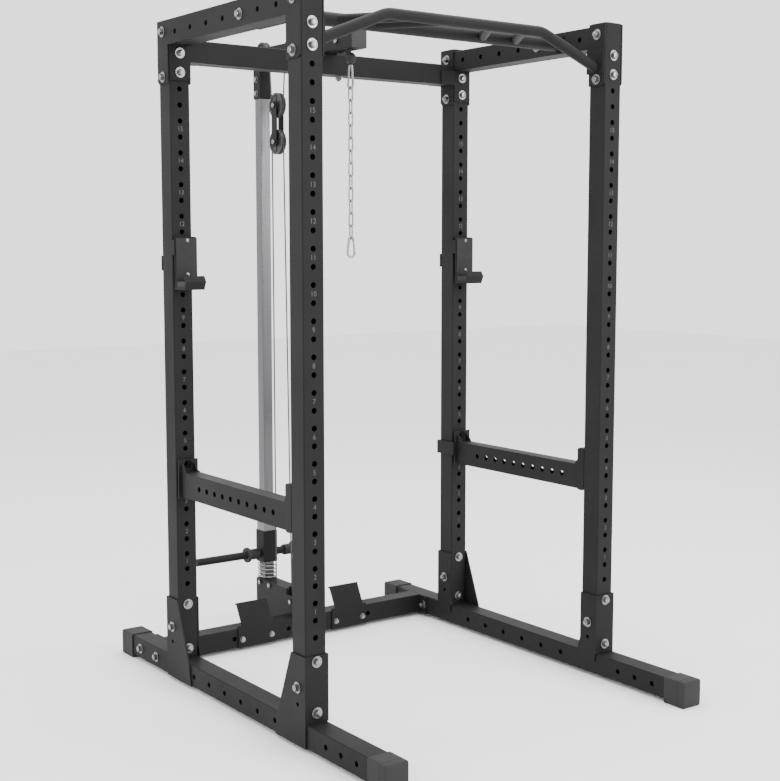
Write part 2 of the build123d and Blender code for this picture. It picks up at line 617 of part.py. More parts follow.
def pulley(y, z):
    """A grooved plastic pulley on the X axis, with a hub a little wider than its rim."""
    groove = cable_r + groove_play
    root = wrap_r - groove
    profile = Polyline((small_r + bearing_play, -hub_half), (14, -hub_half), (14, -rim_half + 3),
                       (pulley_r - 9, -rim_half + 3), (pulley_r - 7, -rim_half), (pulley_r, -rim_half),
                       (pulley_r, -rim_half + 2), (root, -1.5),
                       (root, 1.5), (pulley_r, rim_half - 2), (pulley_r, rim_half),
                       (pulley_r - 7, rim_half), (pulley_r - 9, rim_half - 3), (14, rim_half - 3),
                       (14, hub_half), (small_r + bearing_play, hub_half), close=True)
    wheel = revolve(make_face(profile), Axis.Y)
    seat = Torus(wrap_r, groove)
    return Pos(0, y, z) * Rot(0, 0, 90) * (wheel - Rot(90, 0, 0) * seat)


spacer_r = 9.0
spacers = []
for name, (y, z) in top_pulleys.items():
    save(f"beam_pulley_{name}", pulley(y, z))
    bolted("small", (-lat_beam / 2, y, z), "x", -1, lat_beam, washers=False)
    for sx in sides.values():
        ring = rod((sx * (hub_half + 0.2), y, z), "x", spacer_r, sx * (lat_beam / 2 - wall - hub_half - 0.2))
        spacers.append(ring - rod((-60, y, z), "x", small_r + bearing_play, 120))

# ---- Travelling block: two pulleys between two link plates ----
block_upper = (bay_y + block_y, block_z)
block_lower = (bay_y + block_y, block_z - block_pitch)
strap_half = 16.0
straps = []
for sx in sides.values():
    link = block(sx * cheek_x, sx * (cheek_x + cheek_t), block_upper[0] - strap_half,
                 block_upper[0] + strap_half, block_lower[1], block_upper[1])
    for y, z in (block_upper, block_lower):
        link += rod((sx * cheek_x, y, z), "x", strap_half, sx * cheek_t)
    straps.append(cut(link, [rod((-60, y, z), "x", small_r + bolt_play, 120)
                             for y, z in (block_upper, block_lower)]))
save("block_plates", *straps)
save("block_pulley_upper", pulley(*block_upper))
save("block_pulley_lower", pulley(*block_lower))


def axle_bolt(half_grip, y, z):
    """A bolt that is also a pulley's axle, with its nut, as two solids."""
    start = -half_grip - small_head_h
    shank = rod((start, y, z), "x", small_r, 2 * half_grip + 2 * small_head_h + stick_out)
    head = Pos(start, y, z) * Rot(0, 90, 0) * hexagon(small_head_r, small_head_h)
    nut = Pos(half_grip, y, z) * Rot(0, 90, 0) * (
        hexagon(small_head_r, small_head_h) - Cylinder(small_r + thread_play, 4 * small_head_h))
    return [shank + head, nut]


block_grip = cheek_x + cheek_t
save("block_axles", *axle_bolt(block_grip, *block_upper), *axle_bolt(block_grip, *block_lower))

# ---- Low pulley and the cable anchor in the tower's foot ----
save("low_pulley", pulley(low_pulley_y, low_pulley_z))
for sx in sides.values():
    ring = rod((sx * (hub_half + 0.2), low_pulley_y, low_pulley_z), "x", spacer_r,
               sx * (box_half - cheek_t - hub_half - 0.2))
    spacers.append(ring - rod((-60, low_pulley_y, low_pulley_z), "x", small_r + bearing_play, 120))
bolted("small", (-box_half, low_pulley_y, low_pulley_z), "x", -1, 2 * box_half, washers=False)
bolted("small", (-box_half, anchor_y, anchor_z), "x", -1, 2 * box_half, washers=False)
save("pulley_spacers", *spacers)


# ---- Steel cables ----
def tangents(points):
    """Tangent points of a cable that runs from an end, round pulleys, to an end, in Y and Z.

    A pulley is (y, z, turn): turn is +1 when the cable runs anticlockwise round it as seen
    with +Y to the right, and -1 when clockwise. An end is (y, z, 0).
    """
    runs = []
    for (y0, z0, t0), (y1, z1, t1) in zip(points, points[1:]):
        dy, dz = y1 - y0, z1 - z0
        angle = atan2(dz, dy) - asin((t1 - t0) * wrap_r / sqrt(dy * dy + dz * dz))
        ny, nz = -sin(angle), cos(angle)
        runs.append((angle, (y0 - t0 * wrap_r * ny, z0 - t0 * wrap_r * nz),
                     (y1 - t1 * wrap_r * ny, z1 - t1 * wrap_r * nz)))
    return runs


def cable(points):
    """The cable's solid: straight runs joined by the arcs that lie on the pulleys."""
    runs = tangents(points)
    edges = []
    for index, (angle, start, end) in enumerate(runs):
        if index:
            y, z, turn = points[index]
            before, past = runs[index - 1]
            sweep_angle = turn * ((turn * (angle - before)) % (2 * pi))
            middle = before + sweep_angle / 2
            top = (y + turn * wrap_r * sin(middle), z - turn * wrap_r * cos(middle))
            edges.append(ThreePointArc((0, *past), (0, *top), (0, *start)))
        edges.append(Line((0, *start), (0, *end)))
        runs[index] = (angle, end)
    path = Wire(edges)
    section = Plane(origin=path @ 0, z_dir=path % 0) * Circle(cable_r)
    return sweep(section, path=path)


stop_z = lat_low + 17 - pulley_r      # centre of the rubber stop at the pull-down end
stop_r = 19.0
lug_z = carriage_bottom + carriage_h
lat_route = [(bay_y + lat_drop_y, stop_z + stop_r + fit, 0), (*front_pulley, -1), (*middle_pulley, -1),
             (*block_upper, 1), (*rear_pulley, -1), (post_y + carriage_side / 2 + 2, lug_z + fit, 0)]
row_stop_y = low_pulley_y - pulley_r - 36
row_stop_r = 14.0
row_z = low_pulley_z - wrap_r
low_route = [(anchor_y, anchor_z + small_r + 0.5, 0), (*block_lower, 1),
             (low_pulley_y, low_pulley_z, -1), (row_stop_y + row_stop_r + fit, row_z, 0)]
save("lat_cable", cable(lat_route))
save("low_cable", cable(low_route))


# ---- Cable ends: rubber stop, carabiners and the chain ----
snap_d = 8.0               # carabiner wire
snap_w = 14.0              # bend radius of its wide end, to the wire's centre
snap_n = 9.0               # the same at its narrow end
gate_from, gate_to = 0.12, 0.80      # the gate's share of the straight side
gate_gap = 0.4             # between the gate's ends and the hook
gate_step = 0.8            # how much thinner the gate is than the wire, in radius
rivet_r = 1.2              # the gate's hinge rivet


def carabiner(y, z_top, length):
    """A pear-shaped snap hook hanging down from z_top, and its gate, in the YZ plane."""
    top_c = z_top - snap_d / 2 - snap_n
    low_c = z_top - length + snap_d / 2 + snap_w
    taper = asin((snap_w - snap_n) / (top_c - low_c))
    top_y, low_y = snap_n * cos(taper), snap_w * cos(taper)
    top_z, low_z = top_c + snap_n * sin(taper), low_c + snap_w * sin(taper)

    def along(share):
        return (y + low_y + (top_y - low_y) * share, low_z + (top_z - low_z) * share)

    open_low, open_high = along(gate_from), along(gate_to)
    spine = Wire([
        Line((0, *open_high), (0, y + top_y, top_z)),
        ThreePointArc((0, y + top_y, top_z), (0, y, top_c + snap_n), (0, y - top_y, top_z)),
        Line((0, y - top_y, top_z), (0, y - low_y, low_z)),
        ThreePointArc((0, y - low_y, low_z), (0, y, low_c - snap_w), (0, y + low_y, low_z)),
        Line((0, y + low_y, low_z), (0, *open_low))])
    body = sweep(Plane(origin=spine @ 0, z_dir=spine % 0) * Circle(snap_d / 2), path=spine)
    start, end = Vector(0, *open_low), Vector(0, *open_high)
    direction = (end - start).normalized()
    gate_r = snap_d / 2 - gate_step
    hinge = start + direction * (gate_gap + gate_r)
    gate = Plane(origin=hinge, z_dir=direction) * extrude(
        Circle(gate_r), (end - start).length - 2 * gate_gap - gate_r)
    gate += Pos(*hinge) * Sphere(gate_r)
    gate += rod((-gate_r - 0.4, hinge.Y, hinge.Z), "x", rivet_r, 2 * gate_r + 0.8)
    return body, gate


def link(y, z, across):
    """One long link of round wire; across says that its flat lies in XZ and not in YZ."""
    half = (link_w - link_d) / 2
    reach = (link_t + link_d) / 2 - half
    spine = Wire([
        Line((0, -half, -reach), (0, -half, reach)),
        ThreePointArc((0, -half, reach), (0, 0, reach + half), (0, half, reach)),
        Line((0, half, reach), (0, half, -reach)),
        ThreePointArc((0, half, -reach), (0, 0, -reach - half), (0, -half, -reach))])
    ring = sweep(Plane(origin=spine @ 0, z_dir=spine % 0) * Circle(link_d / 2), path=spine)
    return Pos(0, y, z) * (Rot(0, 0, 90) if across else Rot(0, 0, 0)) * ring


drop_y = bay_y + lat_drop_y
snap_long = 85.0
snap_short = 76.0
hang = 0.3                 # play between a link and what it hangs on
snap_top = stop_z - stop_r - 0.2
snap, gate = carabiner(drop_y, snap_top, snap_long)
save("stop_ball", Pos(0, drop_y, stop_z) * Sphere(stop_r))
save("top_carabiner", snap)
save("top_carabiner_gate", gate)
first_z = snap_top - snap_long + snap_d + hang - link_t / 2
chain_pitch = link_t - hang
links = [link(drop_y, first_z - chain_pitch * i, i % 2 == 0) for i in range(link_count)]
save("chain_links", *links)
last_z = first_z - chain_pitch * (link_count - 1)
end_top = last_z - link_t / 2 + snap_d + hang
snap, gate = carabiner(0, end_top, snap_short)
turned = Pos(0, drop_y, 0) * Rot(0, 0, -90)      # across the last link, its gate towards +X
save("end_carabiner", turned * snap)
save("end_carabiner_gate", turned * gate)

row_tip = row_stop_y - row_stop_r - 0.2
lay = Pos(0, row_tip, row_z) * Rot(-90, 0, 0)
snap, gate = carabiner(0, 0, snap_short)
save("row_stop_ball", Pos(0, row_stop_y, row_z) * Sphere(row_stop_r))
save("row_carabiner", lay * snap)
save("row_carabiner_gate", lay * gate)

# ---- Plate carriage on the post, and the spring that it lands on ----
carriage_top = carriage_bottom + carriage_h
carriage_mid = (carriage_bottom + carriage_top) / 2
slide_play = 0.3
bore_side = carriage_side - 10
carriage = Pos(0, post_y, carriage_mid) * square_tube(carriage_side, 5, 4, carriage_h, "z")
collar_t = 12.0            # disc that the plates lean on
collar_r = 28.5
collar_hub_r = 20.0
collar_hub = 40.0          # hub between the disc and the carriage
collar_seat = {"left": 80.0, "right": 112.0}      # inner face of each disc from the middle
shoulder_r = bar_r + 0.4   # the peg under its collar
for side, sx in sides.items():
    carriage += rod((0, post_y, bar_z), "x", bar_r, sx * peg_end[side])
    carriage += rod((0, post_y, bar_z), "x", shoulder_r, sx * (collar_seat[side] + collar_t))
post_way = Pos(0, post_y, carriage_mid) * extrude(
    RectangleRounded(carriage_side - 10, carriage_side - 10, 1), carriage_h, both=True)
carriage -= post_way
lug = block(-6, 6, post_y + carriage_side / 2, post_y + carriage_side / 2 + 7, lug_z - 30, lug_z)
carriage += lug
save("plate_carriage", carriage)
bushes = []
for z0, out in ((carriage_top, 1), (carriage_bottom, -1)):
    sleeve_out = bore_side - 0.4
    ring = Pos(0, post_y, z0 - out * 10) * extrude(RectangleRounded(sleeve_out, sleeve_out, 2), 10, both=True)
    flange_h = 30.0 if out > 0 else 3.0
    side = carriage_side - 6
    cap = extrude(RectangleRounded(side, side, 4), out * flange_h)
    ring += Pos(0, post_y, z0) * cap
    bore = post + 2 * slide_play
    ring -= Pos(0, post_y, z0) * extrude(RectangleRounded(bore, bore, 3), 60, both=True)
    bushes.append(ring)
save("carriage_bushes", *bushes)
collars = []
for side, sx in sides.items():
    inner = collar_seat[side]
    ring = rod((sx * inner, post_y, bar_z), "x", collar_r, sx * collar_t)
    ring += rod((sx * (inner - collar_hub), post_y, bar_z), "x", collar_hub_r, sx * collar_hub)
    collars.append(ring - rod((0, post_y, bar_z), "x", shoulder_r + 0.05, sx * 200))
save("peg_collars", *collars)

spring_d = 5.0
spring_mean = post / 2 + 12.5
spring_turns = 4
spring_low = housing_top + 2.0 + spring_d / 2
bush_foot = 3.0
spring_high = carriage_bottom - bush_foot - 0.3 - spring_d / 2
spring_pitch = (spring_high - spring_low) / spring_turns
coil = Helix(pitch=spring_pitch, height=spring_high - spring_low, radius=spring_mean)
wire = sweep(Plane(origin=coil @ 0, z_dir=coil % 0) * Circle(spring_d / 2), path=coil, is_frenet=True)
spring = Pos(0, post_y, spring_low) * wire
seat_ring = Cylinder(spring_mean + 3.5, 2.0, align=(Align.CENTER, Align.CENTER, Align.MIN))
seat_bore = extrude(RectangleRounded(post + 0.4, post + 0.4, 2.5), 5, both=True)
save("bumper_spring", spring)
save("spring_seat", Pos(0, post_y, housing_top) * (seat_ring - seat_bore))

# ---- Fastener groups ----
for kind, (bolts, discs, nuts) in fasteners.items():
    save(f"{kind}_bolts", *bolts)
    save(f"{kind}_washers", *discs)
    save(f"{kind}_nuts", *nuts)
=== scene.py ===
"""Power cage with a plate-loaded pulley tower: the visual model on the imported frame.

Metres, +Z up, the cage's open front towards -Y and the tower behind it on x = 0.
"""
from math import asin, atan2, cos, pi, radians, sin, sqrt, tan

import bmesh
import bpy
from mathutils import Matrix, Vector


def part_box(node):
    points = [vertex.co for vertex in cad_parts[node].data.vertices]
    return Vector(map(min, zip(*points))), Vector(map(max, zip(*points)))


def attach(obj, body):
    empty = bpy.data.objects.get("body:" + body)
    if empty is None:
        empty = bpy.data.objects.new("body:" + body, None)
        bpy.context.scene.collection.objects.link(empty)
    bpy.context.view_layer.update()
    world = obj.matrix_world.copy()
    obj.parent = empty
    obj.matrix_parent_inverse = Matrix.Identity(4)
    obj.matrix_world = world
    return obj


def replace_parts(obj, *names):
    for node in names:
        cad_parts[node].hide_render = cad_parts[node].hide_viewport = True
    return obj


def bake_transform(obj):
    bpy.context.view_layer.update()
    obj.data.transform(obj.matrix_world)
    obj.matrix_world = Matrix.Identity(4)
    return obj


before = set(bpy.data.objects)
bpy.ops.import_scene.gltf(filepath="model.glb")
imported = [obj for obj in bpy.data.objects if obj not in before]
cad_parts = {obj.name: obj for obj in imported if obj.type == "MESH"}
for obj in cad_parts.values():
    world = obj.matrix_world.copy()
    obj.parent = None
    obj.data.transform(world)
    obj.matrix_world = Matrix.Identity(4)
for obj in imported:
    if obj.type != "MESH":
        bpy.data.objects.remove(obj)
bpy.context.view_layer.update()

# ---- Frame steel: uprights, rails, beams and the pull-up bar ----
# Welded square tube and laser-cut plate under a matt black powder coat, which shows a fine
# grain and faint clouding. The coat rounds every cut edge a little, so each weldment's edges
# are eased.
surface_grain = bpy.data.node_groups.new("surface_grain", "ShaderNodeTree")
for label, kind, value in (
        ("Colour", "NodeSocketColor", (0.05, 0.05, 0.05, 1)),
        ("Shade", "NodeSocketColor", (0.04, 0.04, 0.04, 1)),
        ("Stretch", "NodeSocketVector", (1, 1, 1)),
        ("Cloud Scale", "NodeSocketFloat", 6.0),
        ("Grain Scale", "NodeSocketFloat", 900.0),
        ("Rough Low", "NodeSocketFloat", 0.5),
        ("Rough High", "NodeSocketFloat", 0.6)):
    socket = surface_grain.interface.new_socket(label, in_out="INPUT", socket_type=kind)
    socket.default_value = value
for label, kind in (("Colour", "NodeSocketColor"), ("Roughness", "NodeSocketFloat"),
                    ("Height", "NodeSocketFloat")):
    surface_grain.interface.new_socket(label, in_out="OUTPUT", socket_type=kind)


def grain_nodes(tree):
    """Clouds tint the colour and roughness, and a much finer noise gives the height."""
    new, link = tree.nodes.new, tree.links.new
    given, result = new("NodeGroupInput"), new("NodeGroupOutput")
    place, stretch = new("ShaderNodeTexCoord"), new("ShaderNodeVectorMath")
    stretch.operation = "MULTIPLY"
    link(place.outputs["Object"], stretch.inputs[0])
    link(given.outputs["Stretch"], stretch.inputs[1])
    cloud, grain, speck = (new("ShaderNodeTexNoise") for _ in range(3))
    cloud.inputs["Detail"].default_value = 6.0
    grain.inputs["Detail"].default_value = 3.0
    speck.inputs["Detail"].default_value = 1.0
    finer = new("ShaderNodeMath")
    finer.operation = "MULTIPLY"
    finer.inputs[1].default_value = 0.23
    for noise in (cloud, grain, speck):
        link(stretch.outputs[0], noise.inputs["Vector"])
    link(given.outputs["Cloud Scale"], cloud.inputs["Scale"])
    link(given.outputs["Grain Scale"], grain.inputs["Scale"])
    link(given.outputs["Grain Scale"], finer.inputs[0])
    link(finer.outputs[0], speck.inputs["Scale"])
    blend = new("ShaderNodeMath")
    blend.operation = "MULTIPLY_ADD"
    blend.inputs[1].default_value = 0.35
    link(speck.outputs["Fac"], blend.inputs[0])
    spread = new("ShaderNodeMapRange")
    spread.inputs["From Min"].default_value = 0.3
    spread.inputs["From Max"].default_value = 0.7
    spread.inputs["To Max"].default_value = 0.65
    link(cloud.outputs["Fac"], spread.inputs["Value"])
    link(spread.outputs[0], blend.inputs[2])
    tint = new("ShaderNodeMix")
    tint.data_type = "RGBA"
    link(blend.outputs[0], tint.inputs[0])
    link(given.outputs["Colour"], tint.inputs[6])
    link(given.outputs["Shade"], tint.inputs[7])
    link(tint.outputs[2], result.inputs["Colour"])
    gloss = new("ShaderNodeMapRange")
    link(blend.outputs[0], gloss.inputs["Value"])
    link(given.outputs["Rough Low"], gloss.inputs["To Min"])
    link(given.outputs["Rough High"], gloss.inputs["To Max"])
    link(gloss.outputs[0], result.inputs["Roughness"])
    link(grain.outputs["Fac"], result.inputs["Height"])


grain_nodes(surface_grain)


def finish(name, colour, shade, rough, height, grain, cloud=6.0, stretch=(1, 1, 1), metallic=0.0,
           specular=0.5):
    """A material whose colour, roughness and relief come from the shared grain."""
    material = bpy.data.materials.new(name)
    material.use_nodes = True
    tree = material.node_tree
    shader = tree.nodes["Principled BSDF"]
    texture, bump = tree.nodes.new("ShaderNodeGroup"), tree.nodes.new("ShaderNodeBump")
    texture.node_tree = surface_grain
    for label, value in (("Colour", (*colour, 1)), ("Shade", (*shade, 1)), ("Stretch", stretch),
                         ("Cloud Scale", cloud), ("Grain Scale", grain), ("Rough Low", rough[0]),
                         ("Rough High", rough[1])):
        texture.inputs[label].default_value = value
    bump.inputs["Distance"].default_value = height
    bump.inputs["Strength"].default_value = 0.6
    shader.inputs["Metallic"].default_value = metallic
    shader.inputs["Specular IOR Level"].default_value = specular
    tree.links.new(texture.outputs["Colour"], shader.inputs["Base Color"])
    tree.links.new(texture.outputs["Roughness"], shader.inputs["Roughness"])
    tree.links.new(texture.outputs["Height"], bump.inputs["Height"])
    tree.links.new(bump.outputs["Normal"], shader.inputs["Normal"])
    return material


powder_coat = finish("matt_black_powder_coat", (0.0105, 0.0105, 0.011), (0.0075, 0.0075, 0.008),
                     (0.50, 0.64), 0.00030, 700.0, cloud=4.0, specular=0.13)


def add_piece(name, mesh, material, body):
    """Puts a finished mesh into the scene on its body."""
    piece = bpy.data.objects.new(name, mesh)
    bpy.context.scene.collection.objects.link(piece)
    mesh.materials.clear()
    mesh.materials.append(material)
    if body:
        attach(piece, body)
    return piece


def eased(node, body, material, width=0.0011):
    """The CAD shape with its edges eased, in place of the CAD node."""
    work = bmesh.new()
    work.from_mesh(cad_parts[node].data)
    bmesh.ops.remove_doubles(work, verts=work.verts, dist=1e-5)
    bmesh.ops.dissolve_limit(work, angle_limit=radians(0.6), verts=work.verts, edges=work.edges)
    for face in work.faces:
        face.smooth = True
    mesh = bpy.data.meshes.new(f"{node}_eased")
    work.to_mesh(mesh)
    work.free()
    piece = add_piece(f"{node}_eased", mesh, material, body)
    edges = piece.modifiers.new("eased edges", "BEVEL")
    edges.width = width
    edges.segments = 2
    edges.limit_method = "ANGLE"
    edges.angle_limit = radians(38)
    flats = piece.modifiers.new("flat faces", "WEIGHTED_NORMAL")
    flats.weight = 100
    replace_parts(piece, node)
    return piece


for steel in ("upright_front_left", "upright_front_right", "upright_rear_left",
              "upright_rear_right", "base_rail_left", "base_rail_right", "base_crossbeam",
              "foot_plate_left", "foot_plate_right", "top_beam_left", "top_beam_right",
              "rear_top_crossbeam", "pull_up_bar", "lat_beam", "post_top_sleeve", "tower_foot"):
    eased(steel, "frame", powder_coat)

# ---- Plastic and rubber that closes the tubes ----
# Injection-moulded caps on the uprights and plugs in the lat beam, and thick rubber boots on
# the rails, which the cage stands on.
moulded_black = finish("moulded_black_plastic", (0.020, 0.020, 0.021), (0.028, 0.028, 0.029),
                       (0.38, 0.55), 0.0002, 500.0, cloud=20.0, specular=0.22)
rail_rubber = finish("rail_boot_rubber", (0.017, 0.017, 0.017), (0.027, 0.026, 0.026),
                     (0.62, 0.80), 0.0005, 380.0, cloud=12.0, specular=0.2)


def loft(work, rings, filled=True):
    """Skins rings of equal count, in order, and fills the first and the last if asked."""
    loops = [[work.verts.new(point) for point in ring] for ring in rings]
    count = len(loops[0])
    for low, high in zip(loops, loops[1:]):
        for index in range(count):
            after = (index + 1) % count
            work.faces.new((low[index], low[after], high[after], high[index]))
    if filled:
        work.faces.new(loops[0][::-1])
        work.faces.new(loops[-1])


def soft_square(half_a, half_b, radius, steps=5):
    """Points round a rectangle with rounded corners, as pairs about its middle."""
    points = []
    for turn, (corner_a, corner_b) in enumerate(((1, 1), (-1, 1), (-1, -1), (1, -1))):
        for step in range(steps + 1):
            angle = (turn + step / steps) * pi / 2
            points.append((corner_a * (half_a - radius) + radius * cos(angle),
                           corner_b * (half_b - radius) + radius * sin(angle)))
    return points


def to_mesh(work, name, sharp=40):
    """Closes a work mesh: normals outwards, smooth faces, sharp edges over the angle."""
    bmesh.ops.remove_doubles(work, verts=work.verts, dist=1e-6)
    bmesh.ops.recalc_face_normals(work, faces=work.faces)
    mesh = bpy.data.meshes.new(name)
    work.to_mesh(mesh)
    work.free()
    mesh.shade_smooth()
    mesh.set_sharp_from_angle(angle=radians(sharp))
    return mesh


caps_low, caps_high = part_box("upright_caps")
upright_half = 0.035
upright_x = caps_high[0] - upright_half
front_y, rear_y = caps_low[1] + upright_half, caps_high[1] - upright_half
cap_top, cap_under = caps_high[2], caps_high[2] - 0.003
work = bmesh.new()
for x in (-upright_x, upright_x):
    for y in (front_y, rear_y):
        loft(work, [[(x + a, y + b, z) for a, b in soft_square(half, half, corner)]
                    for half, corner, z in ((0.0300, 0.004, cap_under - 0.010),
                                            (0.0308, 0.004, cap_under - 0.001),
                                            (0.0346, 0.005, cap_under),
                                            (0.0350, 0.005, cap_under + 0.0008),
                                            (0.0342, 0.006, cap_top - 0.0008),
                                            (0.0320, 0.007, cap_top - 0.0001),
                                            (0.0200, 0.008, cap_top))])
upright_caps = add_piece("moulded_upright_caps", to_mesh(work, "moulded_upright_caps"),
                         moulded_black, "frame")
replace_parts(upright_caps, "upright_caps")
eased("lat_beam_caps", "frame", moulded_black, 0.0012)

boot_low, boot_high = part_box("rail_end_caps")
boot_half, boot_long, boot_bore, bore_deep, rail_mid_z = 0.040, 0.083, 0.0352, 0.030, 0.047
boot_mid_z, boot_half_z = (boot_low[2] + boot_high[2]) / 2, (boot_high[2] - boot_low[2]) / 2
work = bmesh.new()
for x in (-upright_x, upright_x):
    for tip, inward in ((boot_low[1], 1), (boot_high[1], -1)):
        rings = []
        for along, shrink, corner in ((0.0, 0.0060, 0.0045), (0.0008, 0.0030, 0.006),
                                      (0.0030, 0.0008, 0.007), (0.0060, 0.0, 0.007),
                                      (0.0240, 0.0, 0.007), (0.0250, 0.0009, 0.006),
                                      (0.0275, 0.0009, 0.006), (0.0285, 0.0, 0.007),
                                      (boot_long - 0.001, 0.0, 0.007), (boot_long, 0.0010, 0.006)):
            outline = soft_square(boot_half - shrink, boot_half_z - shrink, corner)
            rings.append([(x + a, tip + inward * along, boot_mid_z + b) for a, b in outline])
        for along in (boot_long, boot_long - bore_deep):
            rings.append([(x + a, tip + inward * along, rail_mid_z + b)
                          for a, b in soft_square(boot_bore, boot_bore, 0.0045)])
        loft(work, rings)
rail_boots = add_piece("rubber_rail_boots", to_mesh(work, "rubber_rail_boots"), rail_rubber,
                       "frame")
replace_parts(rail_boots, "rail_end_caps")

# ---- Printed hole numbers ----
# Small grey numerals printed between every second pair of peg holes, 1 at the bottom,
# on the front face of each upright.
number_print = finish("light_grey_number_print", (0.060, 0.060, 0.060), (0.035, 0.035, 0.035),
                      (0.5, 0.6), 0.0001, 900.0, cloud=150.0)
first_number_z, number_pitch, number_height, print_thickness = 0.406, 0.100, 0.021, 0.00012
work = bmesh.new()
for number in range(1, 16):
    numeral = bpy.data.curves.new(f"numeral_{number}", "FONT")
    numeral.body = str(number)
    numeral.size = number_height
    numeral.align_x, numeral.align_y = "CENTER", "CENTER"
    numeral.resolution_u = 3
    stand_in = bpy.data.objects.new(f"numeral_{number}", numeral)
    flat = bpy.data.meshes.new_from_object(stand_in)
    for x in (-upright_x, upright_x):
        for y in (front_y, rear_y):
            placed = flat.copy()
            placed.transform(Matrix.Translation((x, y - upright_half - print_thickness,
                                                 first_number_z + number_pitch * (number - 1)))
                             @ Matrix.Rotation(radians(90), 4, "X"))
            work.from_mesh(placed)
            bpy.data.meshes.remove(placed)
    bpy.data.objects.remove(stand_in)
    bpy.data.meshes.remove(flat)
numbers = bpy.data.meshes.new("hole_numbers")
work.to_mesh(numbers)
work.free()
add_piece("hole_numbers", numbers, number_print, "frame")

# ---- Frame bolts, washers and nuts ----
# M12 hexagon bolts in bright zinc with wide washers under head and nut. Turned and rolled
# parts, so the heads have a chamfered crown and the threads end in a chamfer.
zinc_plate = finish("bright_zinc_plate", (0.27, 0.275, 0.28), (0.16, 0.165, 0.17), (0.18, 0.36),
                    0.00006, 1400.0, cloud=45.0, metallic=1.0)


def lathe(work, profile, place=Matrix(), segments=40):
    """Turns (radius, height) pairs about Z; a profile off the axis closes into a ring."""
    rings = [[place @ Vector((r * cos(2 * pi * i / segments), r * sin(2 * pi * i / segments), z))
              for i in range(segments)] for r, z in profile if r > 0]
    if profile[0][0] == 0:
        loft(work, rings)
    else:
        loft(work, rings + [rings[0]], filled=False)


def hexagon_crown(work, across, height, lift, both=False):
    """A hexagon with its corners turned off by a cone, above and, for a nut, below too."""
    flat_r, steps = across / 2, 36
    foot, low, side, crown = [], [], [], []
    for i in range(steps):
        angle = 2 * pi * i / steps
        off = (angle + pi / 6) % (pi / 3) - pi / 6
        corner_r = flat_r / cos(off)
        drop = (corner_r - flat_r * 0.97) * tan(radians(30))
        for ring, r, z in ((foot, flat_r * 0.96, 0), (low, corner_r, drop if both else 0.0004),
                           (side, corner_r, height - drop), (crown, flat_r * 0.95, height)):
            ring.append(Vector((r * cos(angle), r * sin(angle), lift + z)))
    loft(work, [foot, low, side, crown])


def fastener_pair(name, shank, across, height, washer, thickness, stick_out):
    """Two templates: head with washer, and washer with nut and the thread's end."""
    pad = thickness if washer else 0.0
    head, tail = bmesh.new(), bmesh.new()
    for work in (head, tail):
        if washer:
            lathe(work, [(shank + 0.0005, 0.0), (washer - 0.0004, 0.0), (washer, 0.0004),
                         (washer, thickness - 0.0005), (washer - 0.0006, thickness),
                         (shank + 0.0008, thickness)])
    hexagon_crown(head, across, height, pad)
    hexagon_crown(tail, across, height, pad, both=True)
    thread_low, thread_high, turns = pad + height - 0.001, pad + height + stick_out, 6
    pitch, root = (stick_out - 0.001) / turns, shank - 0.0004
    thread = [(0, thread_low)]
    for turn in range(turns):
        thread += [(shank, thread_low + turn * pitch), (root, thread_low + (turn + 0.5) * pitch)]
    thread += [(root, thread_high - 0.0012), (shank - 0.0012, thread_high)]
    lathe(tail, thread, segments=28)
    templates = []
    for part, work in (("head", head), ("tail", tail)):
        template = bpy.data.objects.new(f"{name}_{part}", to_mesh(work, f"{name}_{part}", 30))
        bpy.context.scene.collection.objects.link(template)
        templates.append(template)
    return templates


def geometry_tree(name, **inputs):
    """A Geometry Nodes tree with named inputs and one output, and its two end nodes."""
    tree = bpy.data.node_groups.new(name, "GeometryNodeTree")
    for label, kind in inputs.items():
        tree.interface.new_socket(label, in_out="INPUT", socket_type=f"NodeSocket{kind}")
    tree.interface.new_socket("Pieces", in_out="OUTPUT", socket_type="NodeSocketGeometry")
    return tree, tree.nodes.new("NodeGroupInput"), tree.nodes.new("NodeGroupOutput")


# One template on each point, turned as the point says.
placed_copies, given, result = geometry_tree("placed_copies", Points="Geometry", Template="Object",
                                             Size="Float", Material="Material")
add_node = placed_copies.nodes.new
template_info = add_node("GeometryNodeObjectInfo")
turn_of_point = add_node("GeometryNodeInputNamedAttribute")
turn_of_point.data_type = "FLOAT_VECTOR"
turn_of_point.inputs["Name"].default_value = "turn"
as_rotation = add_node("FunctionNodeEulerToRotation")
copies = add_node("GeometryNodeInstanceOnPoints")
realized = add_node("GeometryNodeRealizeInstances")
painted = add_node("GeometryNodeSetMaterial")
for source, target in (
        (given.outputs["Points"], copies.inputs["Points"]),
        (given.outputs["Template"], template_info.inputs["Object"]),
        (template_info.outputs["Geometry"], copies.inputs["Instance"]),
        (turn_of_point.outputs["Attribute"], as_rotation.inputs[0]),
        (as_rotation.outputs[0], copies.inputs["Rotation"]),
        (given.outputs["Size"], copies.inputs["Scale"]),
        (copies.outputs[0], realized.inputs[0]),
        (realized.outputs[0], painted.inputs["Geometry"]),
        (given.outputs["Material"], painted.inputs["Material"]),
        (painted.outputs[0], result.inputs[0])):
    placed_copies.links.new(source, target)


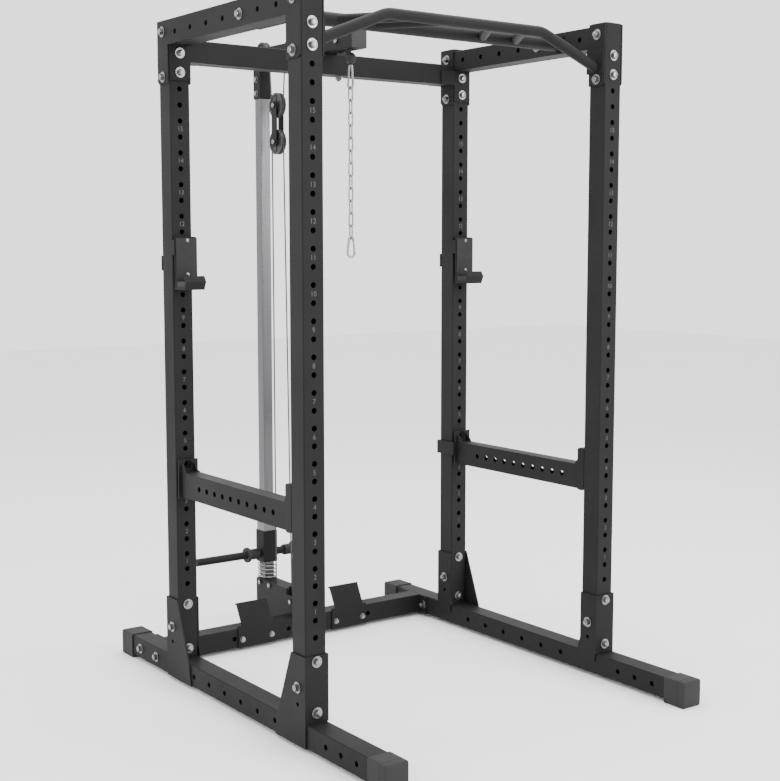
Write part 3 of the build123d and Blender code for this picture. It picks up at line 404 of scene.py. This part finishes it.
def baked(name, base, tree, settings, material, body):
    """Runs a Geometry Nodes tree on a base mesh and keeps the plain mesh that it makes."""
    holder = bpy.data.objects.new(f"{name}_points", base)
    bpy.context.scene.collection.objects.link(holder)
    modifier = holder.modifiers.new("nodes", "NODES")
    modifier.node_group = tree
    sockets = {item.name: item.identifier for item in tree.interface.items_tree
               if item.in_out == "INPUT"}
    for label, value in settings.items():
        modifier[sockets[label]] = value
    bpy.context.view_layer.update()
    graph = bpy.context.evaluated_depsgraph_get()
    mesh = bpy.data.meshes.new_from_object(holder.evaluated_get(graph))
    mesh.name = name
    bpy.data.objects.remove(holder)
    return add_piece(name, mesh, material, body)


def spread_copies(name, template, places, material, body, size=1.0):
    """Template copies at (position, turn) places, through the placed_copies tree."""
    base = bpy.data.meshes.new(f"{name}_places")
    base.from_pydata([tuple(position) for position, _ in places], [], [])
    turns = base.attributes.new("turn", "FLOAT_VECTOR", "POINT")
    for index, (_, turn) in enumerate(places):
        turns.data[index].vector = turn
    return baked(name, base, placed_copies,
                 {"Template": template, "Size": size, "Material": material}, material, body)


towards = {("x", 1): (0, pi / 2, 0), ("x", -1): (0, -pi / 2, 0), ("y", 1): (-pi / 2, 0, 0),
           ("y", -1): (pi / 2, 0, 0), ("z", 1): (0, 0, 0), ("z", -1): (pi, 0, 0)}
plate, fit = 0.005, 0.0003
one_plate, two_plates = 2 * upright_half + plate, 2 * (upright_half + plate)
outer_x = upright_x + upright_half
plated_x = outer_x + plate
bay_y = (front_y + rear_y) / 2
base_beam_y = rear_y + 0.1936
bolt_calls = []     # (place of the head, axis, way out, grip through tube and plates)
for side in (-1, 1):
    for y in (front_y, rear_y):
        bear = y - upright_half - (plate if y == front_y else 0)
        bolt_calls.append(((side * plated_x, y, 0.184), "x", side, two_plates))
        bolt_calls += [((side * upright_x, bear, z), "y", -1, one_plate) for z in (0.262, 0.112)]
        bolt_calls += [((side * plated_x, y, z), "x", side, two_plates) for z in (2.108, 1.968)]
    bolt_calls += [((side * outer_x, base_beam_y + dy, rail_mid_z), "x", side, one_plate)
                   for dy in (-0.0595, 0.0595)]
    for z in (2.042, 1.982):
        bolt_calls.append(((side * upright_x, rear_y - upright_half - plate, z), "y", -1,
                           two_plates))
        bolt_calls.append(((side * upright_x, front_y - upright_half, z), "y", -1, one_plate))
    bolt_calls.append(((side * plated_x, bay_y - 0.100, 2.101), "x", side, two_plates + fit))
    bolt_calls.append(((side * 0.057, rear_y, 2.091), "z", 1, one_plate))


def bolted(name, calls, body, *sizes):
    """Heads and nuts for (place, axis, way out, grip) calls, as one piece of each."""
    heads, tails = [], []
    for place, axis, out, grip in calls:
        away = [0, 0, 0]
        away["xyz".index(axis)] = -out * grip
        heads.append((place, towards[axis, out]))
        tails.append(([p + a for p, a in zip(place, away)], towards[axis, -out]))
    pieces = []
    for part, template, places in zip(("heads", "nuts"), fastener_pair(name, *sizes),
                                      (heads, tails)):
        pieces.append(spread_copies(f"{name}_{part}", template, places, zinc_plate, body))
        bpy.data.objects.remove(template)
    return pieces


heads, nuts = bolted("hexagon_bolt", bolt_calls, "frame", 0.006, 0.0180, 0.0095, 0.017, 0.0025,
                     0.005)
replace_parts(heads, "frame_bolts", "frame_washers")
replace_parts(nuts, "frame_nuts")

# ---- Smaller bolts of the foot plates and the tower ----
# M10 hexagon bolts: with washers through the foot plates and the post's sleeve, bare where
# they are also a pulley's axle or hold the post and the cable in the tower's foot.
post_y, sleeve_half = rear_y + 0.415, 0.024
lat_half, lat_low = 0.030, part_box("lat_beam")[0][2]
lat_mid = lat_low + lat_half
pulley_r, wrap_r, groove_r, hub_half, rim_half = 0.045, 0.0385, 0.00285, 0.0115, 0.009
block_y = bay_y + 0.694
low_pulley = (base_beam_y + 0.005, 0.1325)
top_pulleys = ((bay_y + 0.2675, lat_mid), (bay_y + 0.6015, lat_mid),
               (post_y - 0.011, lat_mid + 0.012))
anchor_y, anchor_z = block_y + wrap_r, 0.164
washer_calls = [((x + dx, base_beam_y - upright_half - plate, 0.042), "y", -1, one_plate)
                for x in (-0.2, 0.2) for dx in (-0.06, 0.06)]
washer_calls += [((-sleeve_half, post_y, lat_low - drop), "x", -1, 2 * sleeve_half)
                 for drop in (0.047, 0.097)]
bare_calls = [((-lat_half, y, z), "x", -1, 2 * lat_half)
              for y, z in (*top_pulleys, low_pulley, (anchor_y, anchor_z), (post_y, anchor_z))]
small_head = (0.005, 0.0159, 0.0064)
heads, nuts = bolted("washered_bolt", washer_calls, "frame", *small_head, 0.0105, 0.002, 0.004)
bolted("axle_bolt", bare_calls, "frame", *small_head, 0, 0.002, 0.004)
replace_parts(heads, "small_bolts", "small_washers")
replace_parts(nuts, "small_nuts")

# ---- Guide post ----
# Square tube, ground and satin plated so that the carriage's bushes run on it; the grinding
# leaves faint lines along the faces.
satin_plate = finish("satin_plated_post", (0.15, 0.15, 0.155), (0.10, 0.10, 0.105), (0.24, 0.36),
                     0.00004, 120.0, cloud=3.0, stretch=(60, 60, 1), metallic=1.0)
eased("guide_post", "frame", satin_plate, 0.0006)

# ---- Pulleys ----
# Moulded nylon wheels with a round groove, six ribs on each side of the web and a pressed-in
# ball bearing whose races show on both sides.
pulley_nylon = finish("black_pulley_nylon", (0.022, 0.022, 0.023), (0.034, 0.034, 0.036),
                      (0.34, 0.50), 0.00015, 450.0, cloud=30.0, specular=0.25)
bearing_steel = finish("bearing_steel", (0.38, 0.38, 0.385), (0.28, 0.28, 0.285), (0.22, 0.34),
                       0.00002, 900.0, cloud=60.0, metallic=1.0)


def across_x(y, z):
    """A place whose own Z lies along X, for what turns about an axle there."""
    return Matrix.Translation((0, y, z)) @ Matrix.Rotation(radians(90), 4, "Y")


def pulley_wheel(name, body, y, z, node):
    """A wheel in place of its CAD node, and its bearing, on the pulley's own body."""
    place = across_x(y, z)
    half = [(0.0110, hub_half), (0.0136, hub_half), (0.0140, hub_half - 0.0005),
            (0.0143, rim_half - 0.0035), (0.0352, rim_half - 0.0035), (0.0368, rim_half - 0.0004),
            (0.0376, rim_half), (pulley_r - 0.0012, rim_half), (pulley_r, rim_half - 0.0009),
            (pulley_r, rim_half - 0.0022), (wrap_r + 0.0016, groove_r * 0.93)]
    seat = [(wrap_r - groove_r * cos(angle), groove_r * sin(angle))
            for angle in (radians(64), radians(40), radians(18))]
    profile = half + seat + [(wrap_r - groove_r, 0)]
    profile += [(r, -h) for r, h in (half + seat)[::-1]]
    work = bmesh.new()
    lathe(work, profile, place, segments=72)
    rib_count, rib_inner, rib_outer = 6, 0.0138, 0.0366
    for side in (-1, 1):
        root, crest = side * (rim_half - 0.0040), side * (rim_half - 0.0012)
        for rib in range(rib_count):
            turn = Matrix.Rotation(2 * pi * rib / rib_count, 4, "Z")
            rings = []
            for h, wide in ((root, 0.0016), ((root + crest) / 2, 0.0014), (crest, 0.0009)):
                rings.append([place @ turn @ Vector((r, w, h))
                              for r, w in ((rib_inner, -wide), (rib_outer, -wide),
                                           (rib_outer, wide), (rib_inner, wide))])
            loft(work, rings)
    wheel = add_piece(f"{name}_wheel", to_mesh(work, f"{name}_wheel", 32), pulley_nylon, body)
    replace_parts(wheel, node)
    races = ((0.00508, 0.0001), (0.0066, 0.0001), (0.0070, 0.0006), (0.0070, 0.0010),
             (0.0094, 0.0010), (0.0094, 0.0006), (0.0097, 0.0002), (0.0110, 0.0002))
    work = bmesh.new()
    for side in (-1, 1):
        face = [(r, side * (hub_half - below)) for r, below in races]
        lathe(work, [(0.00508, 0), *face, (0.0110, 0)], place, segments=48)
    add_piece(f"{name}_bearing", to_mesh(work, f"{name}_bearing", 30), bearing_steel, body)


block_upper, block_lower = (block_y, 1.939), (block_y, 1.809)
for name, body, (y, z), node in (
        ("front_pulley", "front_pulley", top_pulleys[0], "beam_pulley_front"),
        ("middle_pulley", "middle_pulley", top_pulleys[1], "beam_pulley_middle"),
        ("rear_pulley", "rear_pulley", top_pulleys[2], "beam_pulley_rear"),
        ("upper_block_pulley", "block_upper_pulley", block_upper, "block_pulley_upper"),
        ("lower_block_pulley", "block_lower_pulley", block_lower, "block_pulley_lower"),
        ("low_row_pulley", "low_row_pulley", low_pulley, "low_pulley")):
    pulley_wheel(name, body, y, z, node)

# ---- Travelling block and pulley spacers ----
# Two straps of plate, powder coated like the frame, on two axle bolts with bright zinc, and
# turned spacers that keep each fixed pulley in the middle of its slot.
eased("block_plates", "travelling_block", powder_coat, width=0.0007)
block_half, shank_r, shank_short = 0.016, 0.0049, 0.0002
axle_calls = [((-block_half, y, z), "x", -1, 2 * block_half) for y, z in (block_upper, block_lower)]
heads, nuts = bolted("block_axle", axle_calls, "travelling_block", *small_head, 0, 0.002, 0.004)
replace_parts(heads, "block_axles")
for name, centres, half_long, body in (
        ("block_axle_shanks", (block_upper, block_lower), block_half, "travelling_block"),
        ("fixed_axle_shanks", (*top_pulleys, low_pulley), lat_half, "frame")):
    work = bmesh.new()
    reach = half_long - shank_short
    for centre in centres:
        lathe(work, [(0, -reach), (shank_r, -reach), (shank_r, reach)], across_x(*centre),
              segments=32)
    add_piece(name, to_mesh(work, name), zinc_plate, body)
eased("pulley_spacers", "frame", zinc_plate, 0.0005)

# ---- Steel cables ----
# Wire rope in a smooth black nylon jacket. Each straight strand between a moving piece and
# the frame stays where it is drawn, on no body, and the bights on the pulleys stay with their pulleys.
cable_jacket = finish("black_nylon_cable_jacket", (0.020, 0.020, 0.020), (0.030, 0.030, 0.031),
                      (0.30, 0.42), 0.00008, 600.0, cloud=60.0)
cable_r = 0.0025


def tube(work, path, radius, sides=16, place=Matrix(), closed=False):
    """A round wire along (y, z) points, with flat ends unless it closes on itself."""
    points = [Vector((0, y, z)) for y, z in path]
    count, rings = len(points), []
    for index, point in enumerate(points):
        before = points[(index - 1) % count] if closed or index else point
        after = points[(index + 1) % count] if closed or index < count - 1 else point
        along = (after - before).normalized()
        across = Vector((0, -along.z, along.y))
        rings.append([place @ (point + Vector((radius * cos(2 * pi * i / sides), 0, 0))
                               + across * (radius * sin(2 * pi * i / sides)))
                      for i in range(sides)])
    loft(work, rings + rings[:1] if closed else rings, filled=not closed)


def tangent_runs(points):
    """Straight runs of a cable between its ends and pulleys: (angle, start, end) in Y and Z."""
    runs = []
    for (y0, z0, t0), (y1, z1, t1) in zip(points, points[1:]):
        dy, dz = y1 - y0, z1 - z0
        angle = atan2(dz, dy) - asin((t1 - t0) * wrap_r / sqrt(dy * dy + dz * dz))
        ny, nz = -sin(angle), cos(angle)
        runs.append((angle, (y0 - t0 * wrap_r * ny, z0 - t0 * wrap_r * nz),
                     (y1 - t1 * wrap_r * ny, z1 - t1 * wrap_r * nz)))
    return runs


def rope(name, route, strand_bodies, bight_bodies, node):
    """Strands on one body, or between two bodies on none, and bights that ride on one."""
    runs, made = tangent_runs(route), []
    for index, (angle, start, end) in enumerate(runs):
        work = bmesh.new()
        tube(work, [start, end], cable_r)
        first, second = strand_bodies[index]
        label = f"{name}_strand_{index + 1}"
        strand = add_piece(label, to_mesh(work, label), cable_jacket,
                           first if first == second else None)
        if first != second:
            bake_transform(strand)
        made.append(strand)
        if index:
            y, z, turn = route[index]
            before = runs[index - 1][0]
            swept = turn * ((turn * (angle - before)) % (2 * pi))
            steps = max(8, int(abs(swept) / radians(6)))
            path = []
            for step in range(steps + 1):
                a = before + swept * step / steps
                path.append((y + turn * wrap_r * sin(a), z - turn * wrap_r * cos(a)))
            work = bmesh.new()
            tube(work, path, cable_r)
            label = f"{name}_bight_{index}"
            add_piece(label, to_mesh(work, label), cable_jacket, bight_bodies[index - 1])
    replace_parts(made[0], node)


drop_y, stop_z, stop_r = bay_y + 0.229, lat_low - 0.028, 0.019
lug_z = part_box("plate_carriage")[1][2]
row_stop_y, row_stop_r = low_pulley[0] - pulley_r - 0.036, 0.014
row_z = low_pulley[1] - wrap_r
rope("pull_down_cable",
     [(drop_y, stop_z + stop_r + fit, 0), (*top_pulleys[0], -1), (*top_pulleys[1], -1),
      (*block_upper, 1), (*top_pulleys[2], -1), (post_y + 0.032, lug_z + fit, 0)],
     [("pulldown_end", "frame"), ("frame", "frame"), ("frame", "travelling_block"),
      ("travelling_block", "frame"), ("frame", "carriage")],
     ["frame", "frame", "travelling_block", "frame"], "lat_cable")
rope("low_row_cable",
     [(anchor_y, anchor_z + 0.0055, 0), (*block_lower, 1), (*low_pulley, -1),
      (row_stop_y + row_stop_r + fit, row_z, 0)],
     [("frame", "travelling_block"), ("travelling_block", "frame"), ("frame", "row_end")],
     ["travelling_block", "frame"], "low_cable")

# ---- Cable stops ----
# Moulded rubber balls, in two halves with a parting line, that stop the cable ends at the
# beam and at the foot.
stop_rubber = finish("stop_ball_rubber", (0.014, 0.014, 0.014), (0.024, 0.023, 0.023),
                     (0.50, 0.68), 0.0004, 260.0, cloud=40.0, specular=0.2)
for name, body, y, z, radius, turn, node in (
        ("pull_down_stop", "pulldown_end", drop_y, stop_z, stop_r, 0, "stop_ball"),
        ("row_stop", "row_end", row_stop_y, row_z, row_stop_r, 90, "row_stop_ball")):
    place = Matrix.Translation((0, y, z)) @ Matrix.Rotation(radians(turn), 4, "X")
    profile, steps, parting_deep = [(0, -radius)], 40, 0.0006
    for step in range(1, steps):
        angle = -pi / 2 + pi * step / steps
        ring_r = radius * cos(angle) - (parting_deep if step == steps // 2 else 0)
        profile.append((ring_r, radius * sin(angle)))
    work = bmesh.new()
    lathe(work, profile, place, segments=48)
    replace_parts(add_piece(f"{name}_rubber", to_mesh(work, f"{name}_rubber", 60), stop_rubber, body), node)

# ---- Carabiners and their gates ----
# Pear-shaped snap hooks bent from 8 mm zinc-plated wire. The thinner gate is riveted at the
# wide end and springs against the nose.
wire_zinc = finish("zinc_plated_wire", (0.34, 0.345, 0.35), (0.22, 0.225, 0.23), (0.24, 0.42),
                   0.00008, 800.0, cloud=70.0, metallic=1.0)
snap_d, snap_wide, snap_narrow, gate_gap, gate_r = 0.008, 0.014, 0.009, 0.0004, 0.0032


def carabiner(name, bodies, place, z_top, length, hook_node, gate_node):
    """A hook on the first body and its gate, hinged at the wide end, on the second."""
    top_c = z_top - snap_d / 2 - snap_narrow
    low_c = z_top - length + snap_d / 2 + snap_wide
    taper = asin((snap_wide - snap_narrow) / (top_c - low_c))
    top = Vector((snap_narrow * cos(taper), top_c + snap_narrow * sin(taper)))
    low = Vector((snap_wide * cos(taper), low_c + snap_wide * sin(taper)))
    open_low, open_high = low.lerp(top, 0.12), low.lerp(top, 0.80)
    path = [tuple(open_high), tuple(open_high.lerp(top, 0.6))]
    for centre, radius, start, stop in ((top_c, snap_narrow, taper, pi - taper),
                                        (low_c, snap_wide, pi - taper, 2 * pi + taper)):
        path += [(radius * cos(start + (stop - start) * i / 24),
                  centre + radius * sin(start + (stop - start) * i / 24)) for i in range(25)]
    path.append(tuple(open_low))
    work = bmesh.new()
    tube(work, path, snap_d / 2, 18, place)
    hook = add_piece(f"{name}_hook", to_mesh(work, f"{name}_hook"), wire_zinc, bodies[0])
    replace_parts(hook, hook_node)
    along = (open_high - open_low).normalized()
    hinge, stop = open_low + along * (gate_gap + gate_r), open_high - along * gate_gap
    to_hinge = place @ Matrix.Translation((0, *hinge))
    work = bmesh.new()
    tube(work, [tuple(hinge), tuple(hinge.lerp(stop, 0.5)), tuple(stop)], gate_r, 18, place)
    bmesh.ops.create_uvsphere(work, u_segments=20, v_segments=12, radius=gate_r - 0.00002,
                              matrix=to_hinge)
    lathe(work, [(0, -0.0036), (0.0010, -0.0036), (0.0012, -0.0033), (0.0012, 0.0033),
                 (0.0010, 0.0036)], to_hinge @ Matrix.Rotation(radians(90), 4, "Y"), segments=20)
    gate = add_piece(f"{name}_gate", to_mesh(work, f"{name}_gate"), wire_zinc, bodies[1])
    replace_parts(gate, gate_node)


link_long, link_wire, link_wide, link_count, hang = 0.042, 0.0055, 0.020, 12, 0.0003
top_length, handle_length, ball_gap = 0.085, 0.076, 0.0002
snap_top = stop_z - stop_r - ball_gap
first_z = snap_top - top_length + snap_d + hang - link_long / 2
link_pitch = link_long - hang
last_z = first_z - link_pitch * (link_count - 1)
end_top = last_z - link_long / 2 + snap_d + hang
row_tip = row_stop_y - row_stop_r - ball_gap
carabiner("pull_down_carabiner", ("pulldown_end", "top_gate"), Matrix.Translation((0, drop_y, 0)),
          snap_top, top_length, "top_carabiner", "top_carabiner_gate")
carabiner("handle_carabiner", ("chain", "end_gate"),
          Matrix.Translation((0, drop_y, 0)) @ Matrix.Rotation(radians(-90), 4, "Z"),
          end_top, handle_length, "end_carabiner", "end_carabiner_gate")
carabiner("row_carabiner", ("row_end", "row_gate"),
          Matrix.Translation((0, row_tip, row_z)) @ Matrix.Rotation(radians(-90), 4, "X"),
          0, handle_length, "row_carabiner", "row_carabiner_gate")

# ---- Chain ----
# Twelve long links of welded round wire, each a quarter turn from the last.
half = (link_wide - link_wire) / 2
reach = (link_long + link_wire) / 2 - half
outline = [(half * cos(a), reach + half * sin(a)) for a in (pi * i / 14 for i in range(15))]
outline += [(half * cos(a), -reach + half * sin(a)) for a in (pi + pi * i / 14 for i in range(15))]
work = bmesh.new()
tube(work, outline, link_wire / 2, 12, closed=True)
lathe(work, [(0, -0.0013), (link_wire / 2 - 0.0001, -0.0013), (link_wire / 2 + 0.00035, -0.0006),
             (link_wire / 2 + 0.00035, 0.0006), (link_wire / 2 - 0.0001, 0.0013)],
      Matrix.Translation((0, half, 0)), segments=14)
link = bpy.data.objects.new("link", to_mesh(work, "link", 60))
bpy.context.scene.collection.objects.link(link)
links = spread_copies("chain_links_wire", link,
                      [((0, drop_y, first_z - link_pitch * i), (0, 0, pi / 2 if i % 2 == 0 else 0))
                       for i in range(link_count)], wire_zinc, "chain")
bpy.data.objects.remove(link)
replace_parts(links, "chain_links")

# ---- Plate carriage ----
# A square sleeve with two round plate pegs, powder coated, on plastic bushes that run on the
# post. A rubber collar with a hub on each peg's root keeps the plates off the sleeve.
eased("plate_carriage", "carriage", powder_coat, width=0.0009)
bush_plastic = finish("grey_bush_plastic", (0.16, 0.16, 0.165), (0.11, 0.11, 0.115), (0.36, 0.48),
                      0.0001, 500.0, cloud=40.0)
eased("carriage_bushes", "carriage", bush_plastic, 0.0008)
collar_t, collar_r, hub_r, hub_long, bore_r = 0.012, 0.0285, 0.020, 0.040, 0.01445
peg_z = (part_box("peg_collars")[0][2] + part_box("peg_collars")[1][2]) / 2
work = bmesh.new()
for inner, turn in ((0.080, -90), (0.112, 90)):
    place = Matrix.Translation((0, post_y, peg_z)) @ Matrix.Rotation(radians(turn), 4, "Y")
    start, end = inner - hub_long, inner + collar_t
    hub = [(bore_r, start), (hub_r - 0.0012, start), (hub_r, start + 0.0012),
           (hub_r, inner - 0.0025), (hub_r + 0.0007, inner - 0.0007), (hub_r + 0.0025, inner)]
    disc = [(collar_r - 0.0022, inner), (collar_r - 0.0006, inner + 0.0008),
            (collar_r, inner + 0.0026), (collar_r, end - 0.0026),
            (collar_r - 0.0006, end - 0.0008), (collar_r - 0.0022, end)]
    dish = [(collar_r - 0.0045, end), (collar_r - 0.0050, end - 0.0008),
            (bore_r + 0.0035, end - 0.0008), (bore_r + 0.0030, end), (bore_r, end)]
    lathe(work, hub + disc + dish, place, segments=64)
collars = add_piece("rubber_peg_collars", to_mesh(work, "rubber_peg_collars", 50), stop_rubber,
                    "carriage")
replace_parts(collars, "peg_collars")

# ---- Bumper spring ----
# A coil of 5 mm zinc-plated spring wire on a rubber seat, which takes the carriage's landing.
# Geometry Nodes wind the wire from its radius, turns and height.
spring_coil, given, result = geometry_tree(
    "spring_coil", Points="Geometry", Radius="Float", Turns="Float", Height="Float", Wire="Float",
    Place="Vector", Material="Material")
add_node = spring_coil.nodes.new
spiral = add_node("GeometryNodeCurveSpiral")
spiral.inputs["Resolution"].default_value = 44
round_wire = add_node("GeometryNodeCurvePrimitiveCircle")
round_wire.inputs["Resolution"].default_value = 14
skin = add_node("GeometryNodeCurveToMesh")
skin.inputs["Fill Caps"].default_value = True
moved = add_node("GeometryNodeTransform")
smooth = add_node("GeometryNodeSetShadeSmooth")
whole = add_node("GeometryNodeRealizeInstances")
coated = add_node("GeometryNodeSetMaterial")
for source, target in (
        (given.outputs["Radius"], spiral.inputs["Start Radius"]),
        (given.outputs["Radius"], spiral.inputs["End Radius"]),
        (given.outputs["Turns"], spiral.inputs["Rotations"]),
        (given.outputs["Height"], spiral.inputs["Height"]),
        (given.outputs["Wire"], round_wire.inputs["Radius"]),
        (spiral.outputs[0], skin.inputs["Curve"]),
        (round_wire.outputs[0], skin.inputs["Profile Curve"]),
        (skin.outputs[0], moved.inputs["Geometry"]),
        (given.outputs["Place"], moved.inputs["Translation"]),
        (moved.outputs[0], smooth.inputs["Geometry"]),
        (smooth.outputs[0], whole.inputs[0]),
        (whole.outputs[0], coated.inputs["Geometry"]),
        (given.outputs["Material"], coated.inputs["Material"]),
        (coated.outputs[0], result.inputs[0])):
    spring_coil.links.new(source, target)
spring_low, spring_high = (corner[2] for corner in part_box("bumper_spring"))
spring_base = bpy.data.meshes.new("spring_base")
spring_base.from_pydata([(0, 0, 0)], [], [])
wire_r = 0.0025
coil = baked("bumper_spring_wire", spring_base, spring_coil,
             {"Radius": 0.0325, "Turns": 4.0, "Height": spring_high - spring_low - 2 * wire_r,
              "Wire": wire_r, "Place": (0, post_y, spring_low + wire_r),
              "Material": wire_zinc}, wire_zinc, "frame")
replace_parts(coil, "bumper_spring")
eased("spring_seat", "frame", stop_rubber, 0.0005)

# ---- Bar cups ----
# Bent and welded plate that wraps the upright, with a peg in the hole behind and a wear
# liner of black plastic held by two socket screws.
liner_plastic = finish("cup_liner_plastic", (0.012, 0.012, 0.012), (0.020, 0.020, 0.020),
                       (0.40, 0.55), 0.0002, 300.0, cloud=35.0, specular=0.15)
cup_hole_z, screw_r, screw_aside = 1.381, 0.006, 0.008
cup_gap, cup_back, cup_liner = 0.013, 0.005, 0.004
seat_y = rear_y - upright_half - cup_gap - cup_back - cup_liner
for side, x in (("left", -upright_x), ("right", upright_x)):
    eased(f"bar_cup_{side}", f"{side}_cup", powder_coat, width=0.0010)
    eased(f"cup_liner_{side}", f"{side}_cup", liner_plastic, 0.0009)
    work = bmesh.new()
    for z in (cup_hole_z + 0.073, cup_hole_z - 0.035):
        place = (Matrix.Translation((x + screw_aside, seat_y, z))
                 @ Matrix.Rotation(radians(90), 4, "X"))
        lathe(work, [(0, -0.009), (0.0029, -0.009), (0.0029, 0), (screw_r, 0), (screw_r, 0.0007),
                     (0.0052, 0.0017), (0.0036, 0.0025), (0.0023, 0.0026), (0.0022, 0.0012)],
              place, segments=36)
    screws = add_piece(f"cup_screws_{side}_domed", to_mesh(work, f"cup_screws_{side}_domed", 35),
                       zinc_plate, f"{side}_cup")
    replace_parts(screws, f"cup_screws_{side}")

# ---- Safeties ----
# Rectangular tube with punched holes, welded to an end flange in front and a wrapping strap
# behind, powder coated like the frame.
for side in ("left", "right"):
    eased(f"safety_{side}", f"{side}_safety", powder_coat, width=0.0011)

# ---- Studio ----
# A pale seamless floor under large soft lights, seen from the cage's front left corner.
floor_paper = finish("pale_floor_paper", (0.90, 0.90, 0.90), (0.88, 0.88, 0.885), (0.75, 0.85),
                     0.0002, 60.0, cloud=0.8, specular=0.2)
floor_mesh = bpy.data.meshes.new("floor")
far = 14
floor_mesh.from_pydata([(-far, -far, 0), (far, -far, 0), (far, far, 0), (-far, far, 0)], [],
                       [(0, 1, 2, 3)])
floor_mesh.materials.append(floor_paper)
floor = bpy.data.objects.new("floor", floor_mesh)
bpy.context.scene.collection.objects.link(floor)

world = bpy.data.worlds.new("studio")
world.use_nodes = True
world.node_tree.nodes["Background"].inputs["Color"].default_value = (1, 1, 1, 1)
world.node_tree.nodes["Background"].inputs["Strength"].default_value = 2.0
bpy.context.scene.world = world
for name, place, size, power in (("overhead", (0.4, -0.2, 4.6), 4.5, 220),
                                 ("front_fill", (2.6, -4.6, 2.8), 2.8, 160),
                                 ("left_rim", (-4.4, 1.6, 2.6), 1.6, 60)):
    lamp = bpy.data.lights.new(name, "AREA")
    lamp.shape, lamp.size, lamp.energy = "SQUARE", size, power
    light = bpy.data.objects.new(name, lamp)
    light.location = place
    towards_cage = Vector((0, 0, 0.9)) - Vector(place)
    light.rotation_euler = towards_cage.to_track_quat("-Z", "Y").to_euler()
    bpy.context.scene.collection.objects.link(light)

lens = bpy.data.cameras.new("camera")
lens.lens, lens.sensor_width = 63.11, 36.0
camera = bpy.data.objects.new("camera", lens)
camera.location = (-2.6435, -3.6176, 1.452)
camera.rotation_euler = (radians(90 - 6.229), 0, radians(-36.213))
bpy.context.scene.collection.objects.link(camera)
bpy.context.scene.camera = camera
